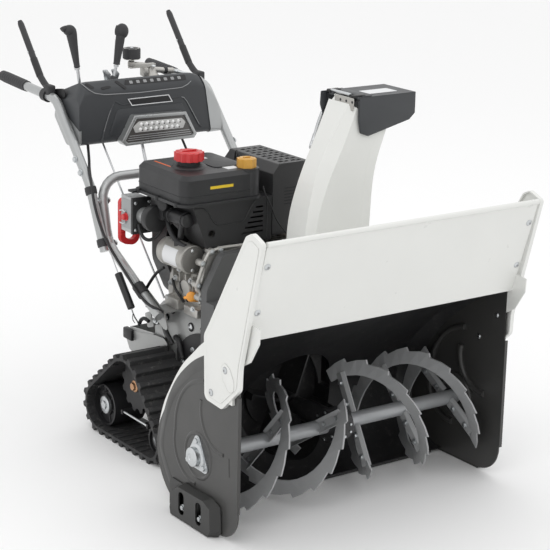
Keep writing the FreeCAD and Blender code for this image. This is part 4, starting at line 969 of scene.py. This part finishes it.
def crankDressing():
    lathe((59, 1226, 957), (0, 0.25, 1), [(31, -2), (30, 5), (20, 20), (17, 38), (12, 44), (0, 45)], 36)
    wire([(-14, 1226, 1012), (20, 1226, 1010), (44, 1226, 1002), (62, 1226, 1002)], 7.5)
    lathe((-13, 1226, 1005), upward, [(0, 0), (10, 0), (11, 3), (11, 14), (8, 18), (8, 22), (0, 23)], 28)
    wire([(62, 1226, 990), (96, 1224, 986), (130, 1218, 983)], 9)
    block((24, 1210, 972), (40, 1240, 1000), 4)
    makePiece("crank_casting", "castAluminium")
    drum((98, 1223.5, 986.5), (1, -0.04, -0.08), 11, 12, 28, edge=2)
    makePiece("crank_seal", "gripRubber")
    wire([(112, 1222, 985), (168, 1210, 974), (188, 1204, 966)], 5)
    for k in range(3):
        drum((124 + 9 * k, 1219.5 - k, 983.5 - 1.6 * k), (1, -0.2, -0.2), 7, 4, 24, edge=1)
    domeBolt((59, 1218, 1003), (0, -0.3, 1), 8)
    domeBolt((-12, 1226, 1061), upward, 6)
    for x in (-86, -56):
        slab([(0, 0, 2), (15, 0, 2), (22, 18, 3), (8, 34, 6), (-9, 34, 4), (-4, 22, 3)], tilted((x, 1262, 962), 90),
             3, edge=0.6)
        slab(rect(0, 0, 15, 22, 2), tilted((x, 1240, 965), -19), 3, edge=0.6)
    makePiece("crank_rod", "zinc")
    lathe((-12, 1226, 1061), upward, [(0, 1), (10, 1), (16, 0.6), (23, -0.5), (25, -4)], 48)
    lathe((-12, 1226, 1027), upward, [(8, 0), (22, 0), (27, 4), (27.2, 30), (26, 34), (24, 34.4)], 48)
    makePiece("crank_knob_top", "gripRubber")


def clutchPaddles(s):
    for side in bothSides:
        x = side * s["paddleX"]
        low, high = Vector((x, 1340, 983)), Vector((x, 1458.6, 1124))
        lathe(low, high - low, s["paddleShape"], 32)
        block((x - 13, 1262, 930), (x + 13, 1296, 962), 5)
        wire([(x, 1284, 950), (x, 1316, 962), (x, 1344, 986)], 10)
    makePiece("clutch_paddles", "gripRubber", sharp=50)
    for side in bothSides:
        for y, z in ((1278, 946), (1392, 1044)):
            for out in (-side, side):
                domeBolt((side * s["paddleX"] + out * 10.5, y, z), out, 3.5)
    makePiece("paddle_pins", "zinc")


consoleShell(panel)
consoleFace(panel)
consoleTop(panel)
lampDressing()
levers()
crankDressing()
clutchPaddles(panel)
print("console dressed")

# handles, cables and tracks

tubes = {
    "upper": 263.3,
    "lower": 235,
    "grip": (1436, 1576, 943.9, 0.0535),
    "upperBolts": ((1100, 771), (1069, 737)),
    "lowerBolts": ((1013, 660), (973, 540)),
    "sideBolts": ((650, 361), (588, 366), (781, 359), (747, 388)),
    "ties": ((1034, 689), (966, 548)),
}


def gripRings(s):
    gripY, endY, gripZ, slope = s["grip"]
    for side in bothSides:
        for k in range(10):
            y = gripY + 13 * k
            lathe((side * s["upper"], y, gripZ - (endY - y) * slope), (0, 1, slope),
                  [(16.4, 0), (17.3, 2), (17.3, 7), (16.4, 9)], 32)
    makePiece("grip_rings", "gripRubber")


def tubeBolts(s):
    upper, lower = s["upper"], s["lower"]
    for side in bothSides:
        for y, z in s["upperBolts"]:
            hexBolt((side * (upper + 13.4), y, z), side, 8, turn=20)
        for y, z in s["lowerBolts"]:
            for out in (side, -side):
                hexBolt((side * lower + out * 13.6, y, z), out, 8)
        for y, z in s["sideBolts"]:
            domeBolt((side * 163, y, z), side, 9)
    for x in (-120, 0, 120):
        domeBolt((x, 962, 262), rearward, 7)
    makePiece("frame_bolts", "zinc")
    for side in bothSides:
        for y, z in s["sideBolts"]:
            drum((side * 160, y, z), side, 13, 3, 28, edge=0.8)
    makePiece("bolt_pads", "deepBlack")
    for side in bothSides:
        for y, z in s["ties"]:
            lathe((side * upper, y, z), (0, 0.42, 0.9), [(14.3, -12), (17, -11), (17.6, 0), (17, 11), (14.3, 12)], 32)
        lathe((side * lower, 800, 443), (0, 0.88, 0.47), [(14.3, -20), (18, -19), (18, 19), (14.3, 20)], 32)
    makePiece("tube_ties", "gripRubber")


def springLink():
    wire([(-262, 881, 476), (-262, 808, 392)], 11, order=2)
    makePiece("spring_sleeve", "blackPlastic")
    wire([(-262, 812, 396), (-252, 812, 366), (-236, 818, 346), (-230, 822, 335)], 2)
    wire([(-256, 810, 372), (-254, 820, 352), (-240, 826, 340)], 1.4)
    wire([(-262, 876, 470), (-262, 950, 556), (-268, 1000, 640)], 1.6)
    makePiece("spring_wire", "rodSteel")


def smoothCables():
    wire([(-205, 1156, 806), (-228, 1106, 770), (-256, 1056, 750), (-272, 1016, 716), (-279, 990, 664),
          (-277, 962, 608), (-270, 928, 556), (-260, 886, 512), (-257, 838, 480), (-257, 788, 446),
          (-257, 736, 424), (-240, 712, 412), (-222, 700, 402)], 4.2)
    wire([(120, 1168, 806), (121, 1090, 716), (128, 990, 610), (146, 900, 500), (152, 840, 432), (150, 794, 403)],
         3.7)
    makePiece("smooth_cables", "cableBlack", replaces="control_cables")
    wire([(-198, 736, 520), (-203, 760, 506), (-208, 790, 470), (-214, 817, 430), (-216, 818, 404)], 4.5)
    wire([(-168, 737, 483), (-176, 716, 462), (-172, 696, 446), (-160, 690, 424)], 4)
    wire([(-166, 700, 482), (-172, 690, 470), (-168, 676, 454), (-158, 672, 430)], 3.6)
    wire([(22, 570, 763), (27, 568, 740), (44, 567, 713), (67, 566, 659), (92, 562, 630), (110, 556, 600)], 1.9)
    makePiece("engine_leads", "cableBlack")


chassis = {
    "arch": ((720, 280), (697, 303), (672, 325), (650, 339), (631, 347), (599, 356), (560, 354), (500, 330),
             (440, 290), (440, 200), (700, 200), (716, 232)),
    "hoses": ((((214, 806, 394), (196, 791, 385), (190, 777, 372), (186, 758, 348), (184, 743, 326), (182, 729, 309),
                (180, 716, 296)), 6),
              (((166, 722, 312), (170, 708, 316), (170.5, 692, 299), (170.5, 686, 276), (168, 680, 262)), 8.5),
              (((226, 824, 332), (226, 820, 344), (226, 806, 356), (226, 790, 360), (226, 772, 356)), 5.5)),
    "tray": ((983, 244, 8), (983, 262, 4), (938, 274, 4), (819, 294, 10), (769, 297, 14), (752, 286, 10),
             (750, 262, 4), (800, 232, 10), (930, 205, 14), (962, 210, 14)),
    "lowPlate": ((829, 322, 3), (798, 336, 3), (772, 296, 3), (826, 284, 3)),
    "highPlate": ((831, 362, 6), (800, 376, 6), (780, 334, 6), (815, 322, 6)),
    "bolts": ((634, 298), (693, 270), (685, 249), (705, 219)),
}


def chassisDressing(s):
    for side in bothSides:
        sideSlab(side, s["arch"], 160, 4.5, 0.8)
        for points, radius in s["hoses"]:
            wire([(side * x, y, z) for x, y, z in points], radius)
        sideBlock(side, (168, 938, 242), (186, 988, 276), 5)
        drum((side * 188, 786, 384), (0, -0.5, -0.86), 17, 40, 28, edge=3)
    makePiece("chassis_hoses", "deepBlack")
    for side in bothSides:
        sideSlab(side, s["tray"], 175.4, 1.6, 0.5)
        sideSlab(side, s["lowPlate"], 160, 11, 1)
        sideSlab(side, s["highPlate"], 201, 3, 0.8)
        sideBlock(side, (160, 790, 334), (202, 812, 340), 1)
    makePiece("tray_sides", "silverPaint")
    for side in bothSides:
        for y, z in s["bolts"]:
            hexBolt((side * 164.5, y, z), side, 6.5, turn=y)
        hexBolt((side * 204, 766, 358), side, 9)
        drum((side * 170, 766, 358), side, 6, 36, 24)
        drum((side * 222, 822, 335), side, 5, 6, 20, edge=1)
    makePiece("chassis_bolts", "zinc")


track = {
    "ribArcs": ((890, 82, 61, -90, 120), (742, 181, 79, 40, 150)),
    "ribStep": 26,
    "rings": ((890, 82, 6, 20), (603, 62, 5, 18)),
    "spokes": ((890, 82, 54.7), (603, 62, 34.7)),
    "innerBolts": ((620, 86), (664, 104), (748, 104), (866, 104), (700, 160), (784, 160)),
}


def trackDressing(s):
    for side in bothSides:
        for y, z, count, circle in s["rings"]:
            for k in range(count):
                hexBolt(around(side * 299, y, z, circle * 0.8, 2 * pi * k / count), side, 3.2, washer=False)
        lathe((side * 299, 603, 62), side, [(20, -6), (20, 2), (16, 4), (0, 4)], 32)
        lathe((side * 304, 890, 82), side, [(25, -1), (24, 1), (13, 1.6), (12, 5), (0, 5)], 40)
        hexBolt((side * 285, 705, 170), side, 5, washer=False)
        wire([(side * 300, 786, 92), (side * 300, 655, 90)], 3.6, order=2)
        for y, z in s["innerBolts"]:
            hexBolt((side * 172, y, z), side, 7)
    makePiece("axle_caps", "zinc", "undercarriage")
    for side in bothSides:
        x = side * 293
        for y, z, outer in s["spokes"]:
            for k in range(6):
                a = radians(60 * k + 15)
                wire([around(x, y, z, 24, a), around(x, y, z, outer, a)], 3, order=2)
        for y in (790, 651):
            sideBlock(side, (172, y - 5, 84), (306, y + 5, 98), 2)
    makePiece("wheel_ribs", "blackPlastic", "undercarriage")
    for side in bothSides:
        lathe((side * 292, 742, 181), side, [(17, -7), (17, 0), (12, 2), (10, 8), (0, 8)], 36)
    makePiece("sprocket_bushes", "bronze", "undercarriage")
    for side in bothSides:
        for y in range(650, 837, 31):
            sideBlock(side, (184, y, 19.6), (326, y + 6, 23), 1)
        for y, z, radius, start, end in s["ribArcs"]:
            count = round((end - start) / s["ribStep"])
            for k in range(count + 1):
                a = start + (end - start) * k / count
                rib = tilted(around(side * 318, y, z, radius, radians(a)), a - 90)
                block((-9, -2.5, -2), (9, 2.5, 2), 0.8, rib)
    makePiece("track_ribs", "trackRubber", "undercarriage")


gripRings(tubes)
tubeBolts(tubes)
springLink()
smoothCables()
chassisDressing(chassis)
trackDressing(track)
print("handles and tracks dressed")

# floor and light

stage = {
    "floor": 30,
    "floorColor": (0.93, 0.93, 0.93),
    "world": 1.0,
}


def makeStage(s):
    bmesh.ops.create_grid(growing, x_segments=1, y_segments=1, size=s["floor"] / 2)
    mat, _, shader = newMaterial("paleFloor")
    shader.inputs["Base Color"].default_value = (*s["floorColor"], 1)
    shader.inputs["Roughness"].default_value = 0.8
    makeObject("floor", mat)
    world = bpy.data.worlds.new("studio")
    world.use_nodes = True
    background = world.node_tree.nodes["Background"]
    background.inputs["Color"].default_value = (1, 1, 1, 1)
    background.inputs["Strength"].default_value = s["world"]
    bpy.context.scene.world = world
    bpy.context.scene.view_settings.view_transform = "Standard"


def softLight(name, place, target, size, power):
    data = bpy.data.lights.new(name, "AREA")
    data.shape = "RECTANGLE"
    data.size, data.size_y = size
    data.energy = power
    light = bpy.data.objects.new(name, data)
    light.location = place
    light.rotation_euler = (Vector(target) - Vector(place)).to_track_quat("-Z", "Y").to_euler()
    bpy.context.scene.collection.objects.link(light)


makeStage(stage)
softLight("keyLight", (-3.0, -2.5, 4.0), (0, 0, 0.5), (3, 3), 26)
softLight("topLight", (1.5, 0.5, 4.5), (0, 0, 0.4), (4, 3), 20)
print("stage set")
